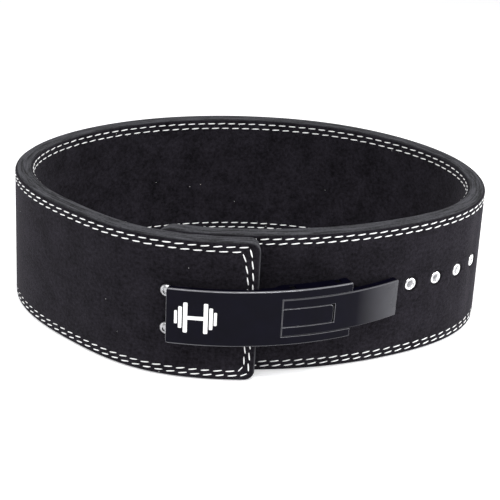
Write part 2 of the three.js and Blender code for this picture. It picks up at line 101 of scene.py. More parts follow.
# Size holes and eyelets
HOLE_PITCH = 23.3 * MM
FIRST_HOLE_FROM_END = 48.5 * MM
HOLE_COUNT = 10
HOOKED_HOLE = 6
HOLE_HEIGHT = 55.4 * MM
EYELET_BORE = 4.8 * MM
EYELET_TUBE = 6.4 * MM
EYELET_FLANGE = 9.2 * MM
EYELET_PROUD = 0.5 * MM
EYELET_FUNNEL = 2.9 * MM
EYELET_ROLL = 0.8 * MM
EYELET_LIP = 0.15 * MM
EYELET_SUNK = 0.8 * MM
EYELET_SLOPE = 0.1 * MM

# Stitch rows: their distance from each side of the strap and their lean at the outer end
OUTER_ROWS = (
    {"top": 2.9 * MM, "foot": 4.3 * MM, "end": 4.4 * MM, "lean": 2.8 * MM, "tongue": 4 * MM},
    {"top": 6.3 * MM, "foot": 7.7 * MM, "end": 7.6 * MM, "lean": 4.1 * MM, "tongue": 7.5 * MM},
)
INNER_ROWS = (
    {"top": 2.3 * MM, "foot": 3.7 * MM, "end": 4.9 * MM, "lean": 2.0 * MM, "tongue": 4 * MM},
    {"top": 6.4 * MM, "foot": 7.8 * MM, "end": 8.3 * MM, "lean": 2.0 * MM, "tongue": 7.5 * MM},
)
ROW_LEAN_REACH = 24 * MM
ROW_FOOT_REACH = 8 * MM

# Stitches, their slants given at the foot and at the top
OUTER_SLANTS_DEG = (8, 5)
INNER_SLANTS_DEG = (-3, -3)
STITCH_SPAN = (0.1, 0.9)
LENGTH_SPREAD = (0.95, 1.04)
WIDTH_SPREAD = (0.93, 1.07)
TURN_SPREAD_DEG = (-2.5, 2.5)
STITCH_FULLNESS = 0.75
STITCH_FLATNESS = 0.85
STITCH_DIP = 0.8
STITCH_LIFT = 0.12

# Lever
LEVER_HEIGHT = 51 * MM
LEVER_SLIDE = 0.8 * MM
STANDOFF_LEFT = 10.2 * MM
STANDOFF_MIDDLE = 8.1 * MM
STANDOFF_HOOK = 8.8 * MM
SHEET = 2 * MM
CLEARANCE = 0.3 * MM
HANDLE_WIDTH = 40 * MM
HANDLE_LENGTH = 126.5 * MM
HANDLE_START = -61 * MM
HANDLE_END = HANDLE_START + HANDLE_LENGTH
HANDLE_CORNER = 2 * MM
HANDLE_RIM = 4 * MM
HANDLE_RIM_START = 1 * MM
HANDLE_FOLD = 1.2 * MM
EAR_DEPTH = 9.5 * MM
EAR_LENGTH = 48 * MM
EAR_RAMP = 12 * MM
EAR_RAMP_CUTS = 6
SLOT_START = HANDLE_END - 50 * MM
HOOK_PLATE_WIDTH = 26.9 * MM
HOOK_PLATE_START = SLOT_START + CLEARANCE
WINDOW_END = HOOK_PLATE_START + 37 * MM
HOOK_RIM = 5.5 * MM
HOOK_RIM_AT_PIN = 8 * MM
HOOK_RIM_IN_SLOT = 2.9 * MM
HOOK_RIM_STEP = 2 * MM
HOOK_FOLD = 0.8 * MM
HOOK_TIP_PAST_HOLE = 5.5 * MM
HOOK_TIP_ABOVE_STRAP = 1.6 * MM
PRONG_DIAMETER = 4.4 * MM
PRONG_REACH = 9 * MM
PRONG_TAPER = 1 * MM
PRONG_POINT = 0.6
CENTRE_TONGUE_WIDTH = 13 * MM
CENTRE_TONGUE_CORNER = 2.5 * MM
CENTRE_TONGUE_END_GAP = 1.2 * MM
TONGUE_POST_LENGTH = 8 * MM
TONGUE_POST_WIDTH = 9 * MM
PIN_DIAMETER = 4 * MM
PIN_CHAMFER = 0.4 * MM
PIN_END_GAP = 0.4 * MM
HANDLE_PIN_X = HANDLE_END - 8.5 * MM
HANDLE_PIN_DEPTH = 6.6 * MM
HOOK_PIN_X = SLOT_START + 7.5 * MM
PAST_HOOK_PIN = HOOK_PIN_X + PIN_DIAMETER
HOOK_PIN_DEPTH = 5 * MM
BASE_WIDTH = 26 * MM
BASE_DECK_DEPTH = 9 * MM
BASE_DECK_LENGTH = 61 * MM
BASE_RISER_LENGTH = 7 * MM
BASE_LUG_LENGTH = 26 * MM
BASE_END_GAP = 2.5 * MM
BASE_PAST_SCREW = 0.3 * MM
BASE_CORNER = 3 * MM
SCREW_FROM_END = 59 * MM
SCREW_SPACING = 27.5 * MM
SCREW_HEAD = 9.0 * MM
SCREW_HEAD_HEIGHT = 2.6 * MM
SCREW_SHAFT = 5 * MM
SCREW_RECESS = 4.6 * MM
SCREW_SLIDE = 0.5 * MM
SCREW_LIFT = 0.9 * MM
SCREW_RECESS_LEVELS = (0.82, 0.3, 0.25)

# Wear of the coating, with the painted highlights and the painted reflection laid on it, first where it
# begins and then where it is full
FOLD_WEAR_HIGHLIGHT_WIDTH = (0.9 * MM, 0.4 * MM)
FOLD_WEAR_HIGHLIGHT_DEPTH = (1.2 * MM, 0.5 * MM)
TIP_REFLECTION_LENGTH = 36 * MM
TIP_REFLECTION_DEPTH = (0.9 * MM, 0.2 * MM)
EDGE_WEAR_HIGHLIGHT_DEPTH = 0.5 * MM
BORE_DULL_DEPTH = (0.6 * MM, 2.2 * MM)
LINT_CELLS = 95.0

# Barbell sign, its plates and its rod in shares of its width
SIGN_FROM_START = 19.6 * MM
SIGN_FILM = 0.12 * MM
SIGN_STEP = 2 * MM
SIGN_PLATES = ((0.5, 0.07, 0.34), (0.405, 0.085, 0.56), (0.29, 0.1, 0.78))
SIGN_ROD = (0.5, 0.095)
SIGN_ROUNDING = 0.3

# Stage
FLOOR_REACH = 4
FLOOR_DROP = 0.1 * MM
LIGHT_TARGET = Vector((0, 0, 50)) * MM

# Camera, as the photograph was taken
CAMERA_PLACE = Vector((2.13, -779.15, 379.77)) * MM
CAMERA_DOWN_DEG = 23.649
CAMERA_ROLL_DEG = 2.99
CAMERA_LENS = 79.2
SENSOR_WIDTH = 36


# Plan of the strap

def oval_share(deg):
    """The ring's reach as a share of the full oval: a smooth closed curve led by PLAN_SHARES."""
    place = np.mod(deg, 360) / (360 / len(PLAN_SHARES))
    first = np.floor(place).astype(int)
    t = place - first
    weights = (
        (1 - t) ** 3 / 6,
        (3 * t**3 - 6 * t**2 + 4) / 6,
        (-3 * t**3 + 3 * t**2 + 3 * t + 1) / 6,
        t**3 / 6,
    )
    rows = [PLAN_SHARES[(first + k - 1) % len(PLAN_SHARES)] for k in range(len(weights))]
    return sum(w * row for w, row in zip(weights, rows))


def oval_point(deg):
    """A point of the strap's middle line, before its ends part at the lap."""
    turn = np.radians(deg)
    share = oval_share(deg)
    x = -OVAL_WIDTH / 2 * share * np.sin(turn)
    y = -OVAL_DEPTH / 2 * share * np.cos(turn)
    return np.stack([x, y], axis=-1)


def outward(deg):
    """Direction out of the ring, square to its middle line."""
    along = oval_point(deg + SLOPE_STEP_DEG) - oval_point(deg - SLOPE_STEP_DEG)
    along /= np.linalg.norm(along, axis=-1, keepdims=True)
    return np.stack([-along[..., 1], along[..., 0]], axis=-1)


def lap_shift(deg):
    """The outer end lies half a lap outside the oval and the tongue half a lap inside it."""
    t = np.clip((deg - BLEND_START_DEG) / (BLEND_END_DEG - BLEND_START_DEG), 0, 1)
    return (STRAP_THICKNESS + LAP_GAP) / 2 * np.cos(math.pi * t)


def plan_point(deg, above):
    """A point seen from above, at a distance above the strap's outer face, in the plan's own axes."""
    out = lap_shift(deg) + STRAP_THICKNESS / 2 + above
    return oval_point(deg) + outward(deg) * np.asarray(out)[..., None]


def frame_shift():
    """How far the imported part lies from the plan's own origin."""
    core = plan_point(np.arange(0.0, 360.0, FRAME_STEP_DEG), -PLY)
    low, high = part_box("strap_core")
    return np.array([low.x - core[:, 0].min(), high.y - core[:, 1].max()])


SHIFT = frame_shift()
TURNS = np.arange(FIRST_TURN_DEG, LAST_TURN_DEG, TURN_STEP_DEG)
FACE_LINE = plan_point(TURNS, 0.0)
WALKED = np.concatenate([[0], np.cumsum(np.linalg.norm(np.diff(FACE_LINE, axis=0), axis=1))])
WALKED -= np.interp(OUTER_END_DEG, TURNS, WALKED)
STRAP_LENGTH = float(np.interp(360 + OUTER_END_DEG, TURNS, WALKED)) + LAP_LENGTH


def turn_at(x):
    """The turn at a place along the flat strap: 0 is its outer end, and the rest lies to the left."""
    return np.interp(-np.asarray(x), WALKED, TURNS)


def ring_place(points):
    """Bends points of the strap's flat pattern round the ring, a little wider at its foot."""
    plan = plan_point(turn_at(points[:, 0]), points[:, 2]) + SHIFT
    foot = np.clip(1 - points[:, 1] / STRAP_HEIGHT, 0, 1) ** FLARE_POWER
    side = plan[:, 0] / (OVAL_WIDTH / 2)
    plan[:, 0] += FLARE * foot * side * np.abs(side)
    return np.column_stack([plan, points[:, 1]])


def strap_place(points):
    """The same for the leather itself, whose upper rim rises a little towards the back."""
    place = ring_place(points)
    back = np.clip(place[:, 1] / (OVAL_DEPTH / 2), 0, 1)
    top = np.clip(points[:, 1] / STRAP_HEIGHT, 0, 1) ** BACK_RISE_POWER
    place[:, 2] += BACK_RISE * back * top
    return place


def hole_x(index):
    """Place of a size hole along the flat strap, counted from the tongue's tip."""
    return -(STRAP_LENGTH - FIRST_HOLE_FROM_END - HOLE_PITCH * index)


def strap_seat(x, y, above=0.0):
    """Where a round fitting sits on the strap, its own z axis pointing out of the face."""
    place = strap_place(np.array([[x, y, above]]))[0]
    out = outward(turn_at(x))
    normal = Vector((out[0], out[1], 0))
    up = Vector((0, 0, 1))
    across = up.cross(normal)
    turn = Matrix((across, up, normal)).transposed().to_4x4()
    return Matrix.Translation(Vector(place)) @ turn


# Frame of the lever: a circle through three points above the strap

def circle_through(a, b, c):
    """Centre and radius of the circle through three points."""
    rows = np.array([b - a, c - a]) * 2
    right = np.array([b @ b - a @ a, c @ c - a @ a])
    centre = np.linalg.solve(rows, right)
    return centre, float(np.linalg.norm(a - centre))


HOOK_X = hole_x(HOOKED_HOLE - 1)
LEVER_CENTRE, LEVER_RADIUS = circle_through(
    plan_point(turn_at(-SCREW_FROM_END), STANDOFF_LEFT),
    plan_point(np.float64(OUTER_END_DEG), STANDOFF_MIDDLE),
    plan_point(turn_at(HOOK_X), STANDOFF_HOOK),
)


def lever_angle(point):
    """Angle of a point of the plan about the lever's centre."""
    away = point - LEVER_CENTRE
    return math.atan2(away[0], -away[1])


LEVER_ZERO = lever_angle(plan_point(np.float64(OUTER_END_DEG), 0.0))
HOOK_U = (lever_angle(plan_point(turn_at(HOOK_X), 0.0)) - LEVER_ZERO) * LEVER_RADIUS
HOOK_PLATE_END = HOOK_U + HOOK_TIP_PAST_HOLE


def lever_place(points):
    """Bends points of a lever piece's flat pattern to the lever's circle; z is above its outer face."""
    angle = LEVER_ZERO + (points[:, 0] + LEVER_SLIDE) / LEVER_RADIUS
    radius = LEVER_RADIUS + points[:, 2]
    x = LEVER_CENTRE[0] + radius * np.sin(angle) + SHIFT[0]
    y = LEVER_CENTRE[1] - radius * np.cos(angle) + SHIFT[1]
    return np.column_stack([x, y, points[:, 1] + LEVER_HEIGHT])


def strap_under_lever():
    """How far below the lever's outer face the strap lies at the hook plate's tip."""
    point = plan_point(turn_at(HOOK_X + HOOK_TIP_PAST_HOLE), 0.0)
    return LEVER_RADIUS - float(np.linalg.norm(point - LEVER_CENTRE))


# Mesh work

def as_mesh(name, bm):
    """Writes a bmesh to a new mesh and frees it."""
    mesh = bpy.data.meshes.new(name)
    bm.to_mesh(mesh)
    bm.free()
    return mesh


def new_object(name, data):
    """Puts new data in the scene as an object."""
    made = bpy.data.objects.new(name, data)
    bpy.context.scene.collection.objects.link(made)
    return made


def arc(x, y, width, height, start_deg, end_deg, count):
    """Points of an ellipse about a centre, from one angle to another."""
    turns = np.radians(np.linspace(start_deg, end_deg, count))
    return [(x + width * math.cos(t), y + height * math.sin(t)) for t in turns]


def rectangle(bm, x0, x1, y0, y1, z=0.0):
    """One upright face of the flat pattern; gives back its corners."""
    made = bmesh.ops.create_grid(bm, x_segments=1, y_segments=1, size=0.5)["verts"]
    bmesh.ops.scale(bm, vec=(x1 - x0, y1 - y0, 1), verts=made)
    bmesh.ops.translate(bm, vec=((x0 + x1) / 2, (y0 + y1) / 2, z), verts=made)
    return made


def rod(bm, diameter, length, segments):
    """A round bar about the z axis; gives back its corners."""
    radius = diameter / 2
    return bmesh.ops.create_cone(
        bm, cap_ends=True, segments=segments, radius1=radius, radius2=radius, depth=length
    )["verts"]


def rounded(bm, geom, radius, segments, affect):
    bmesh.ops.bevel(
        bm, geom=geom, offset=radius, offset_type="OFFSET", segments=segments, profile=0.5,
        affect=affect, material=-1,
    )


def round_corners(bm, corners, radius, segments):
    rounded(bm, corners, radius, segments, "VERTICES")


def round_edges(bm, edges, radius, segments=3):
    rounded(bm, edges, radius, segments, "EDGES")


def thicken(bm, thickness):
    """Gives the flat faces a thickness below them, closed all round."""
    made = bmesh.ops.extrude_face_region(bm, geom=bm.faces[:])["geom"]
    lower = [g for g in made if isinstance(g, bmesh.types.BMVert)]
    bmesh.ops.translate(bm, vec=(0, 0, -thickness), verts=lower)
    bmesh.ops.recalc_face_normals(bm, faces=bm.faces[:])


def cut_line(bm, place, normal):
    """Cuts every face that a plane crosses, and keeps both sides."""
    geom = bm.verts[:] + bm.edges[:] + bm.faces[:]
    bmesh.ops.bisect_plane(bm, geom=geom, plane_co=place, plane_no=normal, dist=CUT_REACH)


def cut_stations(bm, x0, x1, step):
    """Cross cuts that let a long piece bend smoothly."""
    count = max(2, round((x1 - x0) / step))
    for k in range(1, count):
        cut_line(bm, (x0 + (x1 - x0) * k / count, 0, 0), (1, 0, 0))


def rim_edges(bm, z):
    """The outline edges of a slab's face at one height."""
    level = [e for e in bm.edges if all(abs(v.co.z - z) < SAME_PLACE for v in e.verts)]
    return [e for e in level if any(abs(f.normal.z) < 0.5 for f in e.link_faces)]


def face_outwards(bm):
    """Brings the normals up to date, then turns them all outwards."""
    bm.normal_update()
    bmesh.ops.recalc_face_normals(bm, faces=bm.faces[:])


def keep_flat(bm):
    """Keeps each vertex's flat place as an attribute, which the finishes follow."""
    flat = bm.verts.layers.float_vector.new("flat")
    for vertex in bm.verts:
        vertex[flat] = vertex.co


def bend(bm, place):
    """Keeps the flat places, then bends the pattern to its shape."""
    keep_flat(bm)
    points = np.array([v.co for v in bm.verts])
    for vertex, point in zip(bm.verts, place(points)):
        vertex.co = point
    face_outwards(bm)


def lay_turned(bm, profile, steps):
    """Turns an outline of radius and height pairs into a closed round piece about the z axis."""
    verts = [bm.verts.new((radius, 0, height)) for radius, height in profile]
    edges = [bm.edges.new(pair) for pair in zip(verts, verts[1:] + verts[:1])]
    bmesh.ops.spin(
        bm, geom=verts + edges, axis=(0, 0, 1), cent=(0, 0, 0), angle=math.tau, steps=steps, use_merge=True
    )
    bmesh.ops.remove_doubles(bm, verts=bm.verts[:], dist=SAME_PLACE)
    empty = [f for f in bm.faces if f.calc_area() < NO_AREA]
    bmesh.ops.delete(bm, geom=empty, context="FACES")
    axis = [e for e in bm.edges if not e.link_faces]
    bmesh.ops.delete(bm, geom=axis, context="EDGES")
    face_outwards(bm)


def new_piece(name, bm, finish, nodes=(), sharp_deg=40):
    """Makes a finished bmesh one visible piece, riding on the part's body."""
    mesh = as_mesh(name, bm)
    mesh.shade_smooth()
    mesh.set_sharp_from_angle(angle=math.radians(sharp_deg))
    mesh.materials.append(finish)
    piece = new_object(name, mesh)
    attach(piece, BODY)
    if nodes:
        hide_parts(*nodes)
    return piece


def soften_edges(piece, settings, finish):
    """Breaks the sharp edges of a hard piece and keeps its flat faces flat to the light."""
    piece.data.materials.append(finish)
    bevel = piece.modifiers.new("broken_edges", "BEVEL")
    bevel.width = settings.edge_break
    bevel.material = 1
    bevel.segments = 2
    bevel.limit_method = "ANGLE"
    bevel.angle_limit = math.radians(35)
    bevel.use_clamp_overlap = False
    flat_faces(piece)


def flat_faces(piece):
    """Keeps wide faces flat to the light beside their rounded edges."""
    weighted = piece.modifiers.new("flat_faces", "WEIGHTED_NORMAL")
    weighted.keep_sharp = True


def coated_piece(name, bm, place, settings, finish, edge_finish, nodes=()):
    """A piece of coated sheet, bent from its flat pattern, with broken edges."""
    bend(bm, place)
    piece = new_piece(name, bm, finish, nodes)
    soften_edges(piece, settings, edge_finish)


def carve(bm, cutter, operation="DIFFERENCE"):
    """Cuts or joins a second bmesh and gives back the result as a new one."""
    body = new_object("carved", as_mesh("carved", bm))
    tool = new_object("cutter", as_mesh("cutter", cutter))
    boolean = body.modifiers.new("carve", "BOOLEAN")
    boolean.operation = operation
    boolean.solver = "EXACT"
    boolean.object = tool
    bpy.context.view_layer.update()
    evaluated = body.evaluated_get(bpy.context.evaluated_depsgraph_get())
    result = bmesh.new()
    result.from_mesh(evaluated.to_mesh())
    bmesh.ops.remove_doubles(result, verts=result.verts[:], dist=SHORT_EDGE)
    for piece in (body, tool):
        mesh = piece.data
        bpy.data.objects.remove(piece)
        bpy.data.meshes.remove(mesh)
    return result


# Shader work

class Signal:
    """A shader value that adds Math nodes when it is used in an expression."""

    def __init__(self, finish, socket):
        self.finish = finish
        self.socket = socket

    def math(self, operation, *others):
        inputs = dict(enumerate((self, *others)))
        return self.finish.node("ShaderNodeMath", {"operation": operation}, inputs)

    def __add__(self, other):
        return self.math("ADD", other)

    __radd__ = __add__

    def __sub__(self, other):
        return self.math("SUBTRACT", other)

    def __rsub__(self, other):
        return self.finish.node("ShaderNodeMath", {"operation": "SUBTRACT"}, {0: other, 1: self})

    def __mul__(self, other):
        return self.math("MULTIPLY", other)

    __rmul__ = __mul__

    def __truediv__(self, other):
        return self.math("DIVIDE", other)

    def __gt__(self, other):
        return self.math("GREATER_THAN", other)

    def __lt__(self, other):
        return self.math("LESS_THAN", other)

    def __abs__(self):
        return self.math("ABSOLUTE")

    def at_least(self, other):
        return self.math("MAXIMUM", other)


class Finish:
    """A material built around one Principled shader; constants go straight on its sockets."""

    def __init__(self, name, constants):
        self.material = bpy.data.materials.new(name)
        self.material.use_nodes = True
        self.tree = self.material.node_tree
        self.shader = self.tree.nodes["Principled BSDF"]
        for socket, value in constants.items():
            self.shader.inputs[socket].default_value = value

    def node(self, kind, settings=None, inputs=None, output=0):
        """Adds a node: its settings first, then the values or links of its sockets."""
        node = self.tree.nodes.new(kind)
        for setting, value in (settings or {}).items():
            setattr(node, setting, value)
        for socket, value in (inputs or {}).items():
            self.feed(node.inputs[socket], value)
        return Signal(self, node.outputs[output])

    def feed(self, socket, value):
        if isinstance(value, Signal):
            self.tree.links.new(value.socket, socket)
        else:
            socket.default_value = value

    def flat(self):
        """The piece's own flat pattern, in metres."""
        return self.node("ShaderNodeAttribute", {"attribute_name": "flat"}, output="Vector")

    def object_place(self):
        return self.node("ShaderNodeTexCoord", output="Object")

    def parts(self, vector):
        split = self.node("ShaderNodeSeparateXYZ", inputs={0: vector}).socket.node
        return [Signal(self, socket) for socket in split.outputs]

    def stretched(self, vector, scale):
        return self.node("ShaderNodeMapping", inputs={"Vector": vector, "Scale": scale})

    def noise(self, vector, scale, detail=2.0, roughness=0.5):
        inputs = {"Vector": vector, "Scale": scale, "Detail": detail, "Roughness": roughness}
        return self.node("ShaderNodeTexNoise", inputs=inputs)

    def mixed(self, factor, first, second):
        """A colour between two, by a factor from 0 to 1."""
        mix = self.tree.nodes.new("ShaderNodeMix")
        mix.data_type = "RGBA"
        sockets = {s.identifier: s for s in mix.inputs}
        self.feed(sockets["Factor_Float"], factor)
        self.feed(sockets["A_Color"], first)
        self.feed(sockets["B_Color"], second)
        return Signal(self, next(s for s in mix.outputs if s.identifier == "Result_Color"))

    def ramp(self, value, low, high):
        """A value spread from low and high to 0 and 1, held at both ends."""
        inputs = {"Value": value, "From Min": low, "From Max": high}
        return self.node("ShaderNodeMapRange", inputs=inputs)

    def bump(self, height, distance, strength):
        inputs = {"Height": height, "Distance": distance, "Strength": strength}
        return self.node("ShaderNodeBump", inputs=inputs)

    def drive(self, socket, signal):
        self.feed(self.shader.inputs[socket], signal)


def grey(value, tint=(1.0, 1.0, 1.0)):
    return (value * tint[0], value * tint[1], value * tint[2], 1.0)


def tone(colour, share=1.0):
    """A colour setting, darker or lighter by a share."""
    return (*(Vector(colour[:3]) * share), 1.0)


def eyelet_rings(finish, flat, width):
    """The rings round the eyelets: 1 under the flange's rim, fading to 0 within a width."""
    x, y = finish.parts(flat)[:2]
    steps = (x - hole_x(0)) / HOLE_PITCH
    aside = (steps - steps.math("ROUND")) * HOLE_PITCH
    from_hole = (aside * aside + (y - HOLE_HEIGHT) * (y - HOLE_HEIGHT)).math("SQRT")
    ring = finish.ramp(from_hole, EYELET_FLANGE / 2 + width, EYELET_FLANGE / 2)
    return ring * (x < hole_x(HOLE_COUNT - 1) + HOLE_PITCH / 2)


def suede_finish(settings):
    """Black suede: short nap, faint mottling, pressed rings round the eyelets darkened as painted shade,
    and a little lint.
    """
    constants = {
        "Roughness": 0.95,
        "Specular IOR Level": 0.04,
        "Sheen Weight": settings.suede_sheen,
        "Sheen Roughness": 0.45,
        "Sheen Tint": grey(0.9, (1.0, 0.95, 1.08)),
    }
    finish = Finish("black_suede", constants)
    flat = finish.flat()
    colour = settings.suede_colour
    mottling = finish.noise(flat, 55.0, 4.0, 0.6)
    tufts = finish.noise(flat, 420.0, 3.0, 0.6)
    nap = finish.noise(flat, 1300.0, 3.0, 0.65)
    shade = finish.ramp(mottling * 0.3 + tufts * 0.45 + nap * 0.25, 0.38, 0.62)
    cloth = finish.mixed(shade, tone(colour, 0.25), tone(colour, 2.0))
    pressed = eyelet_rings(finish, flat, settings.pressed_shade_width)
    # Painted shade: each pressed ring round an eyelet is also darkened, as if shaded by the proud flange
    cloth = finish.mixed(pressed * 0.8, cloth, tone(colour, 0.1))
    spots = finish.node("ShaderNodeTexVoronoi", {}, {"Vector": flat, "Scale": LINT_CELLS})
    cells = finish.parts(Signal(finish, spots.socket.node.outputs["Color"]))
    lint = (spots < settings.lint_size * LINT_CELLS / 2) * (cells[0] > 0.72)
    finish.drive("Base Color", finish.mixed(lint * 0.8, cloth, grey(0.5)))
    height = nap + tufts * 1.2 - pressed * 4
    finish.drive("Normal", finish.bump(height, settings.nap_depth, 0.8))
    return finish.material


def leather_finish(settings):
    """Cut and dyed leather edge: fine lines along the strap, a darker rounded rim."""
    finish = Finish("dyed_leather_edge", {"Specular IOR Level": 0.2})
    flat = finish.flat()
    colour = settings.edge_colour
    fibres = finish.noise(finish.stretched(flat, (45.0, 45.0, 900.0)), 1.0, 4.0, 0.75)
    grain = finish.noise(flat, 700.0, 3.0, 0.6)
    above = finish.parts(flat)[2]
    rim = finish.ramp(abs(above + STRAP_THICKNESS / 2) / (CORE_THICKNESS / 2), 0.86, 1.0)
    worn = finish.ramp(fibres * 0.7 + grain * 0.3, 0.43, 0.57)
    body = finish.mixed(worn, tone(colour, 0.25), tone(colour, 2.1))
    finish.drive("Base Color", finish.mixed(rim * 0.75, body, tone(colour, 0.35)))
    finish.drive("Roughness", 0.62 + grain * 0.2)
    finish.drive("Normal", finish.bump(fibres + grain * 0.4, 0.6 * MM, 0.9))
    return finish.material


def thread_finish(settings):
    """White bonded thread, its twist showing as fine slanting ridges."""
    finish = Finish("white_thread", {"Roughness": 0.55, "Specular IOR Level": 0.3})
    flat = finish.flat()
    colour = settings.thread_colour
    x, y = finish.parts(flat)[:2]
    twist = ((x * 0.8 + y) * (math.tau / settings.twist_pitch)).math("SINE") * 0.5 + 0.5
    fuzz = finish.noise(flat, 2500.0)
    soil = finish.ramp(finish.noise(flat, 30.0) * 0.6 + fuzz * 0.4, 0.35, 0.7)
    finish.drive("Base Color", finish.mixed(soil, tone(colour), tone(colour, 0.8)))
    finish.drive("Normal", finish.bump(twist + fuzz * 0.3, 0.12 * MM, 0.7))
    return finish.material


def coating_finish(settings, half_width, tip=None):
    """Satin black coating over steel, rubbed thin along folds at half_width and at the hook's tip; the
    rubbed bands are painted lighter and metallic, as a painted highlight along the folds, strongest on the
    upper one, and as a painted reflection that brightens towards the hook's tip.
    """
    finish = Finish("satin_black_coating", {"Specular IOR Level": settings.coating_gloss})
    flat = finish.flat()
    colour = settings.coating_colour
    along, across, above = finish.parts(flat)
    cloud = finish.noise(flat, 60.0, 3.0, 0.55)
    peel = finish.noise(flat, 1400.0)
    # Painted highlight: the folds are rubbed bare and painted lighter and metallic, so that a bright line
    # lies along them, stronger on the upper fold
    fold = finish.ramp(abs(across), *(half_width - reach for reach in FOLD_WEAR_HIGHLIGHT_WIDTH))
    upper = finish.ramp(across, -half_width, half_width) * 0.6 + 0.4
    outer = finish.ramp(above, *(-depth for depth in FOLD_WEAR_HIGHLIGHT_DEPTH))
    worn = fold * outer * upper * settings.fold_wear_and_highlight
    # Painted reflection: towards the hook's tip the coating turns lighter and metallic, standing in for the
    # light reflected off its turned surface
    if tip is not None:
        worn = worn * 0.3
        outer = finish.ramp(above, *(-depth for depth in TIP_REFLECTION_DEPTH))
        rubbed = finish.ramp(along, tip - TIP_REFLECTION_LENGTH, tip) * outer
        worn = worn.at_least(rubbed * settings.tip_reflection)
    worn = worn * (0.85 + cloud * 0.3)
    coat = finish.mixed(finish.ramp(cloud, 0.35, 0.65), tone(colour, 0.85), tone(colour, 1.2))
    # The rubbed bands take the bare steel's colour, which here also paints the fold highlights and the
    # tip's reflection
    finish.drive("Base Color", finish.mixed(worn, coat, tone(settings.rubbed_steel_highlight_colour)))
    finish.drive("Metallic", worn)
    finish.drive("Roughness", settings.coating_roughness + (cloud - 0.5) * 0.12 - worn * 0.35)
    finish.drive("Normal", finish.bump(peel, 0.02 * MM, 0.35))
    return finish.material


def broken_edge_highlight_finish(settings):
    """The coating on broken edges, rubbed thin where hands reach the sheet's outer face, and painted
    lighter and metallic there as a painted highlight line along the edges.
    """
    finish = Finish("rubbed_edge_highlight", {"Specular IOR Level": settings.coating_gloss})
    flat = finish.flat()
    rub = finish.noise(flat, 420.0)
    outer = finish.ramp(finish.parts(flat)[2], -SHEET - EDGE_WEAR_HIGHLIGHT_DEPTH, -SHEET)
    # Painted highlight: the outer broken edges are rubbed bare and painted lighter and metallic
    bare = outer * (rub * 0.5 + 0.75) * settings.edge_shine
    steel = tone(settings.rubbed_steel_highlight_colour)
    finish.drive("Base Color", finish.mixed(bare, tone(settings.coating_colour), steel))
    finish.drive("Metallic", bare)
    finish.drive("Roughness", settings.coating_roughness - 0.1 + rub * 0.08)
    return finish.material


def nickel_finish(name, colour, roughness, bore_roughness=None):
    """Nickel plate with faint handling marks, left dull inside a bore."""
    finish = Finish(name, {"Metallic": 1.0})
    flat = finish.flat()
    marks = finish.noise(flat, 700.0, 3.0, 0.6)
    cloud = finish.ramp(finish.noise(flat, 260.0), 0.45, 0.75)
    finish.drive("Base Color", finish.mixed(cloud, tone(colour), tone(colour, 0.75)))
    spread = marks * 0.08 + roughness
    if bore_roughness is not None:
        from_middle = abs(finish.parts(flat)[2])
        inside = finish.ramp(from_middle, *(STRAP_THICKNESS / 2 - depth for depth in BORE_DULL_DEPTH))
        spread += inside * (bore_roughness - roughness)
    finish.drive("Roughness", spread)
    finish.drive("Normal", finish.bump(marks, 0.01 * MM, 0.3))
    return finish.material


def pin_finish():
    """Plain dark steel, turned on a lathe."""
    finish = Finish("dark_pin_steel", {"Metallic": 1.0})
    rings = finish.noise(finish.stretched(finish.flat(), (120.0, 120.0, 2600.0)), 1.0)
    finish.drive("Base Color", finish.mixed(rings, grey(0.012), grey(0.03)))
    finish.drive("Roughness", 0.3 + rings * 0.15)
    finish.drive("Normal", finish.bump(rings, 0.02 * MM, 0.5))
    return finish.material


def enamel_finish(settings):
    """White printed enamel with a slightly uneven film."""
    finish = Finish("white_enamel", {"Roughness": 0.4, "Specular IOR Level": 0.4})
    film = finish.noise(finish.object_place(), 500.0)
    colour = settings.motif_colour
    finish.drive("Base Color", finish.mixed(film, tone(colour, 0.94), tone(colour)))
    finish.drive("Normal", finish.bump(film, 0.02 * MM, 0.3))
    return finish.material


def floor_finish(settings):
    """Plain pale lit studio table with a trace of unevenness."""
    colour = settings.floor_colour
    constants = {
        "Roughness": 0.9,
        "Specular IOR Level": 0.1,
        "Emission Color": tone(colour),
        "Emission Strength": settings.floor_glow,
    }
    finish = Finish("pale_floor", constants)
    cloud = finish.noise(finish.object_place(), 1.2)
    finish.drive("Base Color", finish.mixed(cloud, tone(colour, 0.985), tone(colour)))
    return finish.material


# Strap

def strap_slab(above, thickness, inset, rounds):
    """One flat ply: its top lies at a height above the face, and rounds gives the radius of each rim."""
    bm = bmesh.new()
    left, right = -STRAP_LENGTH + inset, OUTER_END_PAST - inset
    corners = rectangle(bm, left, right, inset, STRAP_HEIGHT - inset, above)
    tongue = [v for v in corners if v.co.x < right - STRAP_HEIGHT]
    round_corners(bm, tongue, TONGUE_CORNER - inset, 12)
    outer = [v for v in bm.verts if abs(v.co.x - right) < SAME_PLACE]
    round_corners(bm, outer, OUTER_CORNER - inset, 8)
    thicken(bm, thickness)
    for height, radius in zip((above, above - thickness), rounds):
        if radius:
            round_edges(bm, rim_edges(bm, height), radius)
    cut_stations(bm, left, right, STATION_STEP)
    return bm


def hole_cutter(diameter):
    """Round punches at every size hole of the flat strap."""
    cutter = bmesh.new()
    for index in range(HOLE_COUNT):
        made = rod(cutter, diameter, 3 * STRAP_THICKNESS, 24)
        bmesh.ops.translate(cutter, vec=(hole_x(index), HOLE_HEIGHT, 0), verts=made)
    return cutter


def strap_ply(name, above, thickness, inset, rounds, hole, finish):
    """One ply of the strap with its punched holes, bent round the ring."""
    bm = carve(strap_slab(above, thickness, inset, rounds), hole_cutter(hole))
    bend(bm, strap_place)
    piece = new_piece(name + "_piece", bm, finish, (name,), 50)
    flat_faces(piece)


# Stitching

